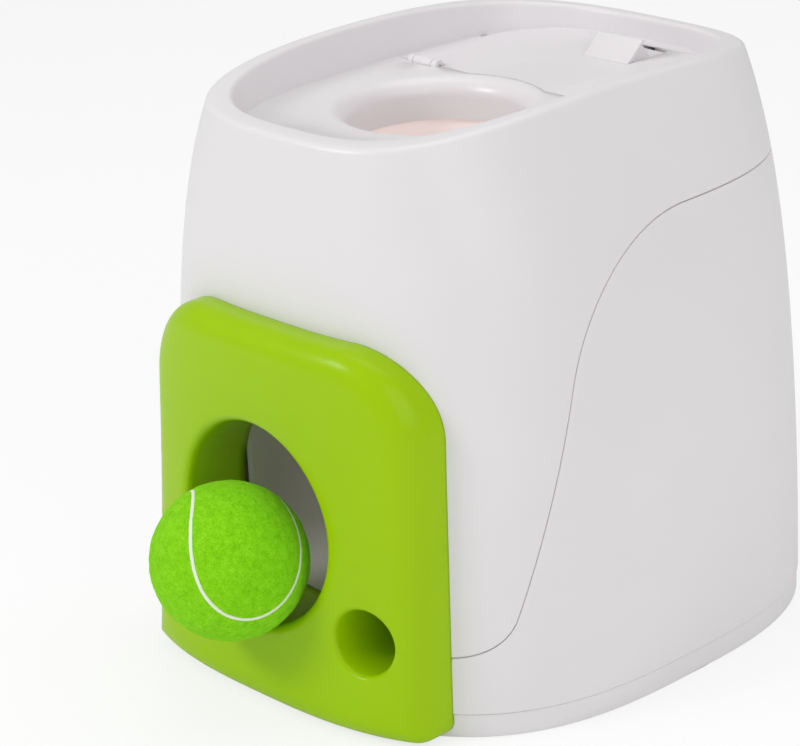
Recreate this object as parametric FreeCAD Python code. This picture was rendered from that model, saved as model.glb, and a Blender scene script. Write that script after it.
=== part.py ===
"""Gravity-fed ball and treat launcher: a ball dropped in the top rolls out of the front.

The ball falls down a tube, lifts a trip lever as it rolls along a channel and leaves by
the large outlet. The lever's pawl steps a pocketed wheel, which drops treats down a chute
to the small outlet. Sizes are in millimetres. The origin is the middle of the underside,
the front faces -Y and +Z is up.
"""
import FreeCAD, Part
import math
import os

from FreeCAD import Vector

# Overall form: rounded-square plan sections that narrow and lean as they rise
HEIGHT = 250.0
BASE_HALF_WIDTH = 122.0
BASE_HALF_DEPTH = 127.5
SIDE_SWELL = 0.107
SIDE_TAPER = 0.355
FRONT_TAPER = 0.207
FRONT_RECOVERY = 0.200
BACKWARD_LEAN = 6.2
SHOULDER_TURN = 11.9
SHOULDER_POWER = 5.9
CORNER_POWER_BASE = 2.85
CORNER_POWER_TOP = 3.1
RIM_ARCH_RADIUS = 753.0
SECTION_POINTS = 32
SECTIONS = 8
OVERRUN = 8.0
UNDERRUN = 6.0

# Walls and working gaps
WALL = 2.6
SHELL_GAP = 0.3
MOVING_GAP = 0.5
SHAFT_CLEARANCE = 0.04

# Line where the front and rear mouldings meet, seen from the side
SEAM_HIGH_Z = 200.0
SEAM_LOW_Z = 35.0
SEAM_FOOT_Y = -92.0
SEAM_LEAN_DEG = 18.2
SEAM_UPPER_RADIUS = 82.0
SEAM_LOWER_RADIUS = 24.0
SEAM_GAP = 0.4
TONGUE = 1.5
TONGUE_REACH = 4.0

# Base
BASE_HEIGHT = 10.0
BASE_FLOOR = 3.0
BASE_STEP = 0.8
FOOT_RADIUS = 9.0
FOOT_DEPTH = 1.6
FOOT_X = 82.0
FOOT_Y = 84.0
BASE_SCREW_X = 100.0
BASE_SCREW_Y = 62.0
SCREW_RADIUS = 1.6
SCREW_HEAD_RADIUS = 3.2
SCREW_HEAD_HEIGHT = 2.0
SCREW_CLEARANCE = 0.3
THREAD_GAP = 0.1
BASE_SCREW_SEAT = 1.6
BASE_SCREW_LENGTH = 14.0
BASE_LIP_RISE = 4.0
BOSS_RADIUS = 4.6
BOSS_HEIGHT = 34.0
BOSS_SCREW_REACH = 28.0
BOSS_WEB = 2.4

# Coloured front panel
PANEL_X = 4.0
PANEL_PROUD = 15.0
PANEL_TOP_HALF = 77.0
PANEL_FOOT_HALF = 82.4
PANEL_TOP_Z = 164.7
PANEL_BOTTOM_Z = 1.0
PANEL_CORNER_RADIUS = 36.5
PANEL_FOOT_RADIUS = 6.0
PANEL_SKIN = 2.6
PANEL_REACH_Y = -60.0
PANEL_EDGE_ROUND = 5.0
PANEL_SCREW_X = 60.0
PANEL_SCREW_HIGH_Z = 140.0
PANEL_SCREW_LOW_Z = 106.0
PANEL_PAD = 4.0
PANEL_SCREW_LENGTH = 11.0

# Ball, its way through and the large outlet
BALL_RADIUS = 33.5
BALL_WAY_X = -2.0
OUTLET_RADIUS = 43.5
OUTLET_Z = 79.0
OUTLET_ROUND = 4.0
COLLAR_WALL = 2.4
COLLAR_END_Y = -100.0
CHANNEL_RADIUS = 39.0
CHANNEL_WALL = 2.8
CHANNEL_SLOPE_DEG = 8.0
CHANNEL_STEP = 1.0
CHANNEL_TOP_Z = 150.0
CHANNEL_OVERRUN = 20.0
RIB_THICKNESS = 2.6
RIB_HALF_WIDTH = 28.0
RIB_FOOT_HALF = 6.0
RIB_FOOT_THICKNESS = 2.0
FRONT_RIB_Y = -78.0
BALL_TIP_DEG = 20.0

# Ball inlet in the tray
INLET_Y = -18.0
INLET_RADIUS = 38.0
INLET_FLARE = 8.0
INLET_DEPTH = 18.0
INLET_WALL = 1.9
TUBE_WALL = 2.2

# Sunken tray
TRAY_HALF_WIDTH = 76.2
TRAY_HALF_DEPTH = 111.2
TRAY_CORNER_POWER = 3.1
TRAY_DRAFT = 3.5
TRAY_DEPTH = 18.0
TRAY_FLOOR_Z = HEIGHT - TRAY_DEPTH
TRAY_WALL = 2.2
TRAY_EDGE_DROP = 2.0
TRAY_SCREWS = ((66.0, 36.0), (62.0, 72.0))
TRAY_SCREW_RADIUS = 1.1
TRAY_SCREW_HEAD = 2.3
TRAY_SCREW_SUNK = 1.1
SKIRT_WALL = 2.4
LEDGE_WIDTH = 8.0
LEDGE_THICKNESS = 2.2
ROOF_THICKNESS = 3.0

# Treat lid, its hinge and its latch
LID_THICKNESS = 2.6
LID_INSET = 4.5
LID_FRONT_Y = 24.0
LID_REACH_Y = 104.0
LID_RIM_GAP = 0.8
LID_RIM_DROP = 3.0
LID_RIM_WALL = 1.6
HINGE_BARREL_RADIUS = 2.6
HINGE_BARREL_HALF = 5.5
HINGE_EAR = 3.0
HINGE_X = 52.0
PIN_RADIUS = 1.0
LATCH_X = 8.0
LATCH_HALF_WIDTH = 13.0
LATCH_LENGTH = 24.0
LATCH_TRAVEL = 4.0
LATCH_TONGUE = 3.0
LATCH_KEEP = 3.0
LATCH_PLATE = 1.6
LATCH_PLATE_MARGIN = 3.0
LATCH_PLATE_LEAD = 8.0
LATCH_RIM_ROOM = 5.0
LATCH_RIM_FRONT_Y = 60.0

# Treat hopper
HOPPER_HALF_WIDTH = 48.0
HOPPER_FRONT_Y = 36.0
HOPPER_REAR_Y = 84.0
HOPPER_WALL = 2.0
HOPPER_MOUTH_Z = 158.5
HOPPER_FLANGE = 1.7
HOPPER_BRIM = 14.0
HOPPER_SPOUT = 4.0

# Treat wheel, its shaft, ratchet and shroud
WHEEL_X = 64.5
WHEEL_Y = 38.0
WHEEL_Z = 128.0
WHEEL_RADIUS = 28.0
WHEEL_WIDTH = 22.0
POCKET_COUNT = 6
POCKET_RADIUS = 9.0
SHAFT_RADIUS = 3.0
HUB_RADIUS = 7.0
RATCHET_RADIUS = 14.0
RATCHET_TEETH = 12
RATCHET_TOOTH = 2.6
RATCHET_WIDTH = 2.6
SHROUD_GAP = 0.8
SHROUD_WALL = 2.0
SHROUD_MOUTH_HALF = 12.0
SHROUD_LOW_SHARE = 0.55

# Frame plates that carry the shaft
PLATE_THICKNESS = 2.4
PLATE_TOP_HALF = 11.0
PLATE_FOOT_HALF = 34.0
PLATE_GAP = 3.4
HUB_GAP = 0.5
TIE_RADIUS = 3.0
TIE_Z = 26.0
TIE_HALF_SPACING = 24.0
BUSH_RADIUS = 5.0
BUSH_FLANGE = 0.8
BUSH_FLANGE_RADIUS = 6.4

# Trip lever and its pawl
LEVER_THICKNESS = 2.8
LEVER_ARM_HALF = 4.0
FINGER_RADIUS = 4.0
FINGER_Y = -60.0
FINGER_Z = 92.0
FINGER_TIP_X = 12.0
FINGER_ROOM = 1.5
LEVER_TRAVEL_DEG = 14.0
PAWL_PIVOT_RADIUS = 26.0
PAWL_PIN_RADIUS = 1.5
PAWL_HALF = 2.6
PAWL_SWING_DEG = 62.0

# Treat chute and the small outlet
SPOUT_X = 60.5
SPOUT_Z = 43.6
SPOUT_RADIUS = 14.0
SPOUT_ROUND = 2.5
CHUTE_REAR_Y = 68.0
CHUTE_REAR_Z = 92.0
CHUTE_FRONT_HALF = 12.0
CHUTE_REAR_HALF = 10.2
CHUTE_FRONT_WALL = 16.0
CHUTE_REAR_WALL = 5.0
CHUTE_WALL = 1.6
CHUTE_STEP = 0.6
CHUTE_RIB_Y = -84.8
CHUTE_RIB_HALF = 10.0
CHUTE_RIB_TOP = 44.0

FAR = 400.0


def save(shape, name):
    """Write one piece as a STEP file."""
    shape.exportStep("parts/" + name + ".step")
    print(name, len(shape.Solids), "solids, volume", round(shape.Volume))


def solid_box(x0, y0, z0, x1, y1, z1):
    """Return a box from its lowest and highest corners."""
    return Part.makeBox(x1 - x0, y1 - y0, z1 - z0, Vector(x0, y0, z0))


def rod_x(radius, x0, x1, y, z):
    """Return a round bar that lies along X."""
    return Part.makeCylinder(radius, x1 - x0, Vector(x0, y, z), Vector(1, 0, 0))


def rod_y(radius, y0, y1, x, z):
    """Return a round bar that lies along Y."""
    return Part.makeCylinder(radius, y1 - y0, Vector(x, y0, z), Vector(0, 1, 0))


def rod_z(radius, z0, z1, x, y):
    """Return an upright round bar."""
    return Part.makeCylinder(radius, z1 - z0, Vector(x, y, z0), Vector(0, 0, 1))


def fused(shapes):
    """Return several shapes as one solid with its needless edges taken out."""
    whole = shapes[0]
    if len(shapes) > 1:
        whole = whole.fuse(shapes[1:])
    return whole.removeSplitter()


def largest(shape):
    """Return the largest solid of a shape."""
    return max(shape.Solids, key=lambda part: part.Volume)


def rounded_outline(half_x, half_y, power, y_shift, z):
    """Return a closed smooth wire: |x/a|^n + |y/b|^n = 1 at one height."""
    points = []
    for step in range(SECTION_POINTS):
        angle = 2 * math.pi * step / SECTION_POINTS
        c, s = math.cos(angle), math.sin(angle)
        reach = (abs(c) ** power + abs(s) ** power) ** (-1 / power)
        points.append(Vector(half_x * reach * c, half_y * reach * s + y_shift, z))
    curve = Part.BSplineCurve()
    knots = [step / SECTION_POINTS for step in range(SECTION_POINTS + 1)]
    curve.interpolate(Points=points, PeriodicFlag=True, Parameters=knots)
    return Part.Wire([curve.toShape()])


def section_sizes(z, inset):
    """Return a section's half width, half depth, corner power and shift, moved inwards by inset."""
    s = max(z, 0.0) / HEIGHT
    turn = SHOULDER_TURN * s ** SHOULDER_POWER
    half_x = BASE_HALF_WIDTH * (1 + SIDE_SWELL * s - SIDE_TAPER * s * s) - turn - inset
    half_y = BASE_HALF_DEPTH * (1 - FRONT_TAPER * s + FRONT_RECOVERY * s * s) - turn - inset
    power = CORNER_POWER_BASE + (CORNER_POWER_TOP - CORNER_POWER_BASE) * s
    return half_x, half_y, power, BACKWARD_LEAN * s


def body_outline(z, inset):
    """Return the plan outline of the body at a height, moved inwards by inset."""
    half_x, half_y, power, shift = section_sizes(z, inset)
    return rounded_outline(half_x, half_y, power, shift, z)


def body_form(inset):
    """Return the whole body's form, moved inwards by inset, closer sections near the top."""
    wires = []
    span = HEIGHT + OVERRUN + UNDERRUN
    for step in range(SECTIONS):
        rise = math.sin(math.pi / 2 * step / (SECTIONS - 1))
        wires.append(body_outline(span * rise - UNDERRUN, inset))
    return Part.makeLoft(wires, True, False)


def body_block(inset, z0, z1):
    """Return the body's form between two heights."""
    return body_form(inset).common(solid_box(-FAR, -FAR, z0, FAR, FAR, z1))


def under_arch(shape, drop):
    """Keep what lies under the rim's long arch, lowered by drop."""
    arch = rod_x(RIM_ARCH_RADIUS, -FAR, FAR, 0, HEIGHT - drop - RIM_ARCH_RADIUS)
    return shape.common(arch)


def seam_line(shift):
    """Return the seam's points and arcs in the YZ plane, moved down and back by shift."""
    lean = math.radians(SEAM_LEAN_DEG)
    turn = math.pi / 2 - lean
    along = Vector(0, math.sin(lean), math.cos(lean))
    low_z, high_z = SEAM_LOW_Z - shift, SEAM_HIGH_Z - shift
    foot_y = SEAM_FOOT_Y + shift / math.cos(lean) - shift * math.tan(lean)
    foot = Vector(0, foot_y, low_z)
    head = foot + along * ((high_z - low_z) / math.cos(lean))
    lower, upper = SEAM_LOWER_RADIUS - shift, SEAM_UPPER_RADIUS + shift
    bow = math.cos(turn / 2)
    half = math.tan(turn / 2)
    a0 = foot + Vector(0, -lower * half, 0)
    a2 = foot + along * (lower * half)
    b0 = head - along * (upper * half)
    b2 = head + Vector(0, upper * half, 0)
    inward = Vector(0, -math.sin(turn / 2), math.cos(turn / 2))
    a1 = foot + inward * (lower / bow - lower)
    b1 = head - inward * (upper / bow - upper)
    return a0, a1, a2, b0, b1, b2


def below_seam(shift):
    """Return everything below and behind the seam, which is moved down by shift."""
    a0, a1, a2, b0, b1, b2 = seam_line(shift)
    start, end = Vector(0, -FAR, a0.z), Vector(0, FAR, b2.z)
    low_end, low_start = Vector(0, FAR, -FAR), Vector(0, -FAR, -FAR)
    edges = [
        Part.LineSegment(start, a0).toShape(),
        Part.Arc(a0, a1, a2).toShape(),
        Part.LineSegment(a2, b0).toShape(),
        Part.Arc(b0, b1, b2).toShape(),
        Part.LineSegment(b2, end).toShape(),
        Part.LineSegment(end, low_end).toShape(),
        Part.LineSegment(low_end, low_start).toShape(),
        Part.LineSegment(low_start, start).toShape(),
    ]
    face = Part.Face(Part.Wire(edges))
    face.translate(Vector(-FAR, 0, 0))
    return face.extrude(Vector(2 * FAR, 0, 0))


def tray_block(grow, z0, z1):
    """Return the tray's well, larger by grow all round, narrowing downwards."""
    wires = []
    for z in (z0, z1):
        draft = TRAY_DRAFT * (HEIGHT - z) / (HEIGHT - TRAY_FLOOR_Z)
        half_x = TRAY_HALF_WIDTH - draft + grow
        half_y = TRAY_HALF_DEPTH - draft + grow
        wires.append(rounded_outline(half_x, half_y, TRAY_CORNER_POWER, BACKWARD_LEAN, z))
    return Part.makeLoft(wires, True, True)


def tray_seat_z():
    """Return the height of the tray's underside."""
    return TRAY_FLOOR_Z - LID_THICKNESS - SHELL_GAP - TRAY_WALL


def collar_holes():
    """Return the two round passages that the panel's collars take through the front."""
    big = rod_y(OUTLET_RADIUS + COLLAR_WALL + SHELL_GAP, -FAR, COLLAR_END_Y, BALL_WAY_X, OUTLET_Z)
    small = rod_y(SPOUT_RADIUS + COLLAR_WALL + SHELL_GAP, -FAR, COLLAR_END_Y, SPOUT_X, SPOUT_Z)
    return big.fuse(small)


def base_screw_places():
    """Return the plan places of the screws that hold the base."""
    return [(sx * BASE_SCREW_X, sy * BASE_SCREW_Y) for sx in (-1, 1) for sy in (-1, 1)]


def foot_places():
    """Return the plan places of the anti-slip discs."""
    return [(sx * FOOT_X, sy * FOOT_Y) for sx in (-1, 1) for sy in (-1, 1)]


def panel_screw_places():
    """Return the X and Z of the screws that hold the panel."""
    heights = (PANEL_SCREW_HIGH_Z, PANEL_SCREW_LOW_Z)
    return [(PANEL_X + side * PANEL_SCREW_X, z) for side in (-1, 1) for z in heights]


def front_wall_y(x, z, inset):
    """Return the Y of the body's front at a place, moved inwards by inset."""
    half_x, half_y, power, shift = section_sizes(z, inset)
    return shift - half_y * (1 - abs(x / half_x) ** power) ** (1 / power)


def panel_screw_seat_y(x, z):
    """Return where a panel screw's head seats on its pad inside the front."""
    return front_wall_y(x, z, WALL) + PANEL_PAD


def make_base_plate():
    """Return the base: a shallow pan with a lip, foot recesses and screw holes."""
    pan = body_block(BASE_STEP, 0, BASE_HEIGHT)
    hollow = body_block(BASE_STEP + WALL, BASE_FLOOR, BASE_HEIGHT + 5)
    lip = body_block(WALL + SHELL_GAP, BASE_FLOOR, BASE_HEIGHT + BASE_LIP_RISE)
    lip = lip.cut(body_block(2 * WALL + SHELL_GAP, BASE_FLOOR - 1, BASE_HEIGHT + BASE_LIP_RISE + 1))
    plate = fused([pan.cut(hollow), lip])
    cuts = [collar_holes()]
    for x, y in foot_places():
        cuts.append(rod_z(FOOT_RADIUS + SHELL_GAP, -1, FOOT_DEPTH, x, y))
    for x, y in base_screw_places():
        cuts.append(rod_z(SCREW_RADIUS + SCREW_CLEARANCE, -1, BASE_HEIGHT, x, y))
        cuts.append(rod_z(SCREW_HEAD_RADIUS + SCREW_CLEARANCE, -1, BASE_SCREW_SEAT, x, y))
        cuts.append(rod_z(BOSS_RADIUS + SCREW_CLEARANCE, BASE_FLOOR, BASE_HEIGHT + BASE_LIP_RISE, x, y))
    return largest(plate.cut(cuts))


def make_lower_housing():
    """Return the rear and lower side shell, with a tongue behind the seam."""
    low = BASE_HEIGHT + SHELL_GAP
    shell = body_block(0, low, SEAM_HIGH_Z + 20).cut(body_block(WALL, low - 5, SEAM_HIGH_Z + 25))
    shell = shell.common(below_seam(SEAM_GAP / 2))
    inner = WALL + SHELL_GAP
    tongue = body_form(WALL / 2).cut(body_form(inner + TONGUE))
    tongue = tongue.common(below_seam(-TONGUE_REACH)).cut(below_seam(TONGUE_REACH))
    outside = solid_box(-FAR, -FAR, -FAR, FAR, FAR, FAR).cut(below_seam(SEAM_GAP / 2))
    tongue = tongue.cut(outside.cut(body_form(inner)))
    posts = [rod_z(BOSS_RADIUS, BASE_FLOOR + SHELL_GAP, BOSS_HEIGHT, x, y) for x, y in base_screw_places()]
    webs = []
    for x, y in base_screw_places():
        wall_x = math.copysign(BASE_HALF_WIDTH + OVERRUN, x)
        web = solid_box(min(x, wall_x), y - BOSS_WEB / 2, low + BASE_LIP_RISE + 2,
                        max(x, wall_x), y + BOSS_WEB / 2, BOSS_HEIGHT)
        webs.append(web.common(body_block(WALL / 2, low, BOSS_HEIGHT + 5)))
    whole = fused([shell, tongue] + posts + webs)
    for x, y in base_screw_places():
        whole = whole.cut(rod_z(SCREW_RADIUS, 0, BOSS_SCREW_REACH, x, y))
    return largest(whole.cut(collar_holes()))


def make_upper_housing():
    """Return the front and top shell with the skirt and ledge that carry the tray."""
    low = SEAM_LOW_Z
    outer = under_arch(body_block(0, low - 5, HEIGHT + 8), 0)
    cavity = under_arch(body_block(WALL, low - 10, HEIGHT + 8), ROOF_THICKNESS)
    seat = tray_seat_z() - SHELL_GAP
    skirt = tray_block(SKIRT_WALL, seat - LEDGE_THICKNESS, HEIGHT + 20)
    well = tray_block(0, seat, HEIGHT + 20)
    gap = tray_block(-LEDGE_WIDTH, seat - 20, HEIGHT + 20)
    whole = outer.cut(cavity.cut(skirt)).cut(well).cut(gap)
    whole = whole.cut(below_seam(-SEAM_GAP / 2)).cut(collar_holes())
    for x, y in tray_screw_places():
        whole = whole.cut(rod_z(TRAY_SCREW_RADIUS, 0, FAR, x, y))
    whole = largest(whole)
    pads = []
    for x, z in panel_screw_places():
        pads.append(rod_y(BOSS_RADIUS, -FAR / 2, panel_screw_seat_y(x, z), x, z))
    pads = Part.makeCompound(pads).common(body_form(WALL / 2))
    whole = fused([whole] + pads.Solids)
    for x, z in panel_screw_places():
        whole = whole.cut(rod_y(SCREW_RADIUS + SCREW_CLEARANCE, -FAR / 2, 0, x, z))
    return largest(whole)


def panel_prism(inset):
    """Return the panel's front outline, wider at its foot, carried through the front of the body."""
    top, low = PANEL_TOP_Z - inset, PANEL_BOTTOM_Z + inset
    high_half, low_half = PANEL_TOP_HALF - inset, PANEL_FOOT_HALF - inset
    corners = [Vector(PANEL_X - high_half, -FAR, top), Vector(PANEL_X + high_half, -FAR, top),
               Vector(PANEL_X + low_half, -FAR, low), Vector(PANEL_X - low_half, -FAR, low)]
    block = Part.Face(Part.Wire(Part.makePolygon(corners + corners[:1]))).extrude(Vector(0, FAR + PANEL_REACH_Y, 0))
    runs = [edge for edge in block.Edges if edge.BoundBox.YLength > 1]
    upper = [edge for edge in runs if edge.BoundBox.ZMin > PANEL_TOP_Z / 2]
    block = block.makeFillet(PANEL_CORNER_RADIUS - inset, upper)
    return block if inset >= PANEL_FOOT_RADIUS else foot_rounded(block, PANEL_FOOT_RADIUS - inset)


def foot_rounded(block, radius):
    """Return the panel's prism with its two lower corners rounded."""
    edges = [edge for edge in block.Edges
             if edge.BoundBox.YLength > 1 and edge.BoundBox.ZMax < PANEL_BOTTOM_Z + PANEL_FOOT_RADIUS]
    return block.makeFillet(radius, edges)


def make_front_panel():
    """Return the thick coloured panel with its two deep collars."""
    outer = body_block(-PANEL_PROUD, -2, PANEL_TOP_Z + 20)
    skin = body_block(PANEL_SKIN - PANEL_PROUD, -4, PANEL_TOP_Z + 25)
    behind = body_block(-SHELL_GAP, -6, PANEL_TOP_Z + 30)
    block = outer.common(panel_prism(0))
    block = rounded(block.cut(behind), PANEL_EDGE_ROUND, lambda edge: is_front_edge(edge, PANEL_PROUD / 2))
    collars = rod_y(OUTLET_RADIUS + COLLAR_WALL, -FAR / 2, COLLAR_END_Y, BALL_WAY_X, OUTLET_Z)
    collars = collars.fuse(rod_y(SPOUT_RADIUS + COLLAR_WALL, -FAR / 2, COLLAR_END_Y, SPOUT_X, SPOUT_Z))
    hollow = skin.common(panel_prism(PANEL_SKIN)).cut(collars)
    bosses = []
    for x, z in panel_screw_places():
        wall = front_wall_y(x, z, 0)
        boss = rod_y(BOSS_RADIUS, wall - PANEL_PROUD + 1, 0, x, z).cut(behind)
        bosses.append(boss.cut(rod_y(SCREW_RADIUS, wall - PANEL_PROUD + PANEL_SKIN + 1, 0, x, z)))
    shell = block.cut(hollow).fuse([collars.common(outer)] + bosses)
    bores = [rod_y(OUTLET_RADIUS, -FAR / 2, COLLAR_END_Y + 5, BALL_WAY_X, OUTLET_Z),
             rod_y(SPOUT_RADIUS, -FAR / 2, COLLAR_END_Y + 5, SPOUT_X, SPOUT_Z)]
    shell = largest(shell.cut(bores))
    shell = rounded(shell, OUTLET_ROUND, lambda edge: is_lip(edge, BALL_WAY_X, OUTLET_Z, OUTLET_RADIUS))
    return rounded(shell, SPOUT_ROUND, lambda edge: is_lip(edge, SPOUT_X, SPOUT_Z, SPOUT_RADIUS))


def is_lip(edge, x, z, radius):
    """Tell whether an edge is an outlet's front lip."""
    if edge.BoundBox.YMax > COLLAR_END_Y - 1:
        return False
    middle = edge.valueAt((edge.FirstParameter + edge.LastParameter) / 2)
    return abs(math.hypot(middle.x - x, middle.z - z) - radius) < 0.05


def is_front_edge(edge, reach):
    """Tell whether an edge lies on the panel's proud face."""
    for vertex in (edge.valueAt(edge.FirstParameter), edge.valueAt(edge.LastParameter)):
        if vertex.z > PANEL_TOP_Z + 1 or vertex.z < PANEL_BOTTOM_Z - 1:
            return False
        if vertex.y > front_wall_y(vertex.x, max(vertex.z, 0), -reach):
            return False
    return True


def rounded(shape, radius, chosen):
    """Return a shape with the chosen edges rounded."""
    return shape.makeFillet(radius, [edge for edge in shape.Edges if chosen(edge)])


def lid_region(grow, z0, z1):
    """Return the lid's plan form: the rear of the well, cut straight and round the inlet."""
    region = tray_block(grow - LID_INSET, z0, z1)
    region = region.common(solid_box(-FAR, LID_FRONT_Y - grow, z0 - 1, FAR, LID_REACH_Y + grow, z1 + 1))
    keep_off = INLET_RADIUS + INLET_FLARE + 1.5 - grow
    return region.cut(rod_z(keep_off, z0 - 1, z1 + 1, BALL_WAY_X, INLET_Y))


def hinge_barrels(radius, half):
    """Return short round bars on the lid's hinge line."""
    return [rod_x(radius, side * HINGE_X - half, side * HINGE_X + half, LID_FRONT_Y, TRAY_FLOOR_Z)
            for side in (-1, 1)]


def inlet_funnel():
    """Return the flared collar that leads the ball into the drop tube."""
    arc_x = INLET_RADIUS + INLET_FLARE
    outer = INLET_FLARE - INLET_WALL
    low = TRAY_FLOOR_Z - INLET_DEPTH
    arc_z = TRAY_FLOOR_Z - INLET_FLARE
    near = math.sqrt(0.5)
    top_in, top_out = Vector(arc_x, 0, TRAY_FLOOR_Z), Vector(arc_x, 0, arc_z + outer)
    neck_in, neck_out = Vector(INLET_RADIUS, 0, arc_z), Vector(INLET_RADIUS + INLET_WALL, 0, arc_z)
    mid_in = Vector(arc_x - INLET_FLARE * near, 0, arc_z + INLET_FLARE * near)
    mid_out = Vector(arc_x - outer * near, 0, arc_z + outer * near)
    low_in, low_out = Vector(INLET_RADIUS, 0, low), Vector(INLET_RADIUS + INLET_WALL, 0, low)
    edges = [
        Part.Arc(top_in, mid_in, neck_in).toShape(),
        Part.LineSegment(neck_in, low_in).toShape(),
        Part.LineSegment(low_in, low_out).toShape(),
        Part.LineSegment(low_out, neck_out).toShape(),
        Part.Arc(neck_out, mid_out, top_out).toShape(),
        Part.LineSegment(top_out, top_in).toShape(),
    ]
    ring = Part.Face(Part.Wire(edges)).revolve(Vector(0, 0, 0), Vector(0, 0, 1), 360)
    ring.translate(Vector(BALL_WAY_X, INLET_Y, 0))
    return ring


def hopper_opening(grow, z0, z1):
    """Return the hopper's opening in the tray."""
    return solid_box(-HOPPER_HALF_WIDTH - grow, HOPPER_FRONT_Y - grow, z0,
                     HOPPER_HALF_WIDTH + grow, HOPPER_REAR_Y + grow, z1)


def latch_slot(grow):
    """Return the notch, open at its foot, that the latch's tongue enters in the tray's rear edge."""
    top = TRAY_FLOOR_Z - LID_THICKNESS + LATCH_PLATE + grow
    return solid_box(LATCH_X - LATCH_KEEP - grow, LID_REACH_Y - 1, tray_seat_z() - 1,
                     LATCH_X + LATCH_KEEP + grow, LID_REACH_Y + LATCH_PLATE_LEAD, top)


def latch_relief():
    """Return the window in the lid's rear seat that keeps the seat clear of the latch's tab."""
    reach = LATCH_HALF_WIDTH + SHELL_GAP
    return solid_box(LATCH_X - reach, HOPPER_REAR_Y - 1, tray_seat_z() - 1,
                     LATCH_X + reach, LID_REACH_Y + SHELL_GAP, TRAY_FLOOR_Z + 1)


def tray_screw_places():
    """Return the plan places of the screws that hold the tray on its ledge."""
    return [(side * x, y) for x, y in TRAY_SCREWS for side in (-1, 1)]


def lid_seat_z():
    """Return the height of the recess floor under the lid."""
    return TRAY_FLOOR_Z - LID_THICKNESS - SHELL_GAP


def make_top_tray():
    """Return the sunken tray: flared ball inlet, hopper mouth, lid recess and hinge ears."""
    under = tray_seat_z()
    dish = under_arch(tray_block(-SHELL_GAP, under, HEIGHT + 5), TRAY_EDGE_DROP)
    dish = dish.cut(tray_block(-SHELL_GAP - TRAY_WALL, TRAY_FLOOR_Z, HEIGHT + 10))
    dish = dish.cut(lid_region(SHELL_GAP, TRAY_FLOOR_Z - LID_THICKNESS - SHELL_GAP, TRAY_FLOOR_Z + 1))
    lighten = tray_block(-LEDGE_WIDTH - 2, under - 1, TRAY_FLOOR_Z - TRAY_WALL)
    lighten = lighten.common(solid_box(-FAR, -FAR, 0, FAR, LID_FRONT_Y - 4, FAR))
    dish = dish.cut(lighten).cut(rod_z(INLET_RADIUS + INLET_FLARE, 0, FAR, BALL_WAY_X, INLET_Y))
    dish = dish.cut(hopper_opening(0, 0, FAR))
    ears = []
    for side in (-1, 1):
        for end in (-1, 1):
            near = side * HINGE_X + end * (HINGE_BARREL_HALF + SHELL_GAP)
            far = near + end * HINGE_EAR
            ears.append(rod_x(HINGE_BARREL_RADIUS, min(near, far), max(near, far), LID_FRONT_Y, TRAY_FLOOR_Z))
    whole = fused([dish, inlet_funnel()] + ears)
    whole = whole.cut(hinge_barrels(HINGE_BARREL_RADIUS + MOVING_GAP, HINGE_BARREL_HALF + SHELL_GAP))
    whole = whole.cut(hinge_barrels(PIN_RADIUS, HINGE_BARREL_HALF + HINGE_EAR + 1))
    for x, y in tray_screw_places():
        whole = whole.cut(rod_z(TRAY_SCREW_RADIUS + 0.1, 0, FAR, x, y))
        whole = whole.cut(rod_z(TRAY_SCREW_HEAD + 0.3, lid_seat_z() - TRAY_SCREW_SUNK, FAR, x, y))
    return largest(whole.cut(latch_slot(SHELL_GAP)).cut(latch_relief()))


def make_tray_screws():
    """Return the small sunk screws that hold the tray on its ledge."""
    seat = lid_seat_z() - TRAY_SCREW_SUNK
    screws = []
    for x, y in tray_screw_places():
        shank = rod_z(TRAY_SCREW_RADIUS, seat - 8, seat, x, y)
        screws.append(fused([shank, rod_z(TRAY_SCREW_HEAD, seat, seat + TRAY_SCREW_SUNK, x, y)]))
    return Part.makeCompound(screws)


def latch_rear_y():
    """Return the rear of the latch's tab when it is pulled back to free the lid."""
    return LID_REACH_Y - 1.0 - LATCH_TRAVEL


def latch_window(grow):
    """Return the notch in the lid that the latch slides in."""
    return solid_box(LATCH_X - LATCH_HALF_WIDTH - grow, latch_rear_y() - LATCH_LENGTH - grow,
                     TRAY_FLOOR_Z - LID_THICKNESS - 1, LATCH_X + LATCH_HALF_WIDTH + grow, FAR,
                     TRAY_FLOOR_Z + 1)


def make_hopper_lid():
    """Return the treat lid with hinge barrels, a stiffening rim and the latch's notch."""
    top, low = TRAY_FLOOR_Z, TRAY_FLOOR_Z - LID_THICKNESS
    plate = lid_region(0, low, top)
    plate = plate.cut(hinge_barrels(HINGE_BARREL_RADIUS + MOVING_GAP, HINGE_BARREL_HALF + HINGE_EAR + 1))
    barrels = hinge_barrels(HINGE_BARREL_RADIUS, HINGE_BARREL_HALF)
    arms = [solid_box(side * HINGE_X - HINGE_BARREL_HALF, LID_FRONT_Y, low + SHELL_GAP,
                      side * HINGE_X + HINGE_BARREL_HALF, LID_FRONT_Y + 6, top) for side in (-1, 1)]
    rim_inset = HOPPER_WALL + LID_RIM_GAP
    rim = hopper_opening(-rim_inset, low - LID_RIM_DROP, low)
    rim = rim.cut(hopper_opening(-rim_inset - LID_RIM_WALL, 0, low + 1))
    room = LATCH_HALF_WIDTH + LATCH_RIM_ROOM
    rim = rim.cut(solid_box(LATCH_X - room, LATCH_RIM_FRONT_Y, 0, LATCH_X + room, FAR, FAR))
    whole = fused([plate, rim] + barrels + arms).cut(latch_window(SHELL_GAP))
    whole = whole.cut(hinge_barrels(PIN_RADIUS + SHAFT_CLEARANCE, HINGE_BARREL_HALF + 1))
    return largest(whole)


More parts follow.
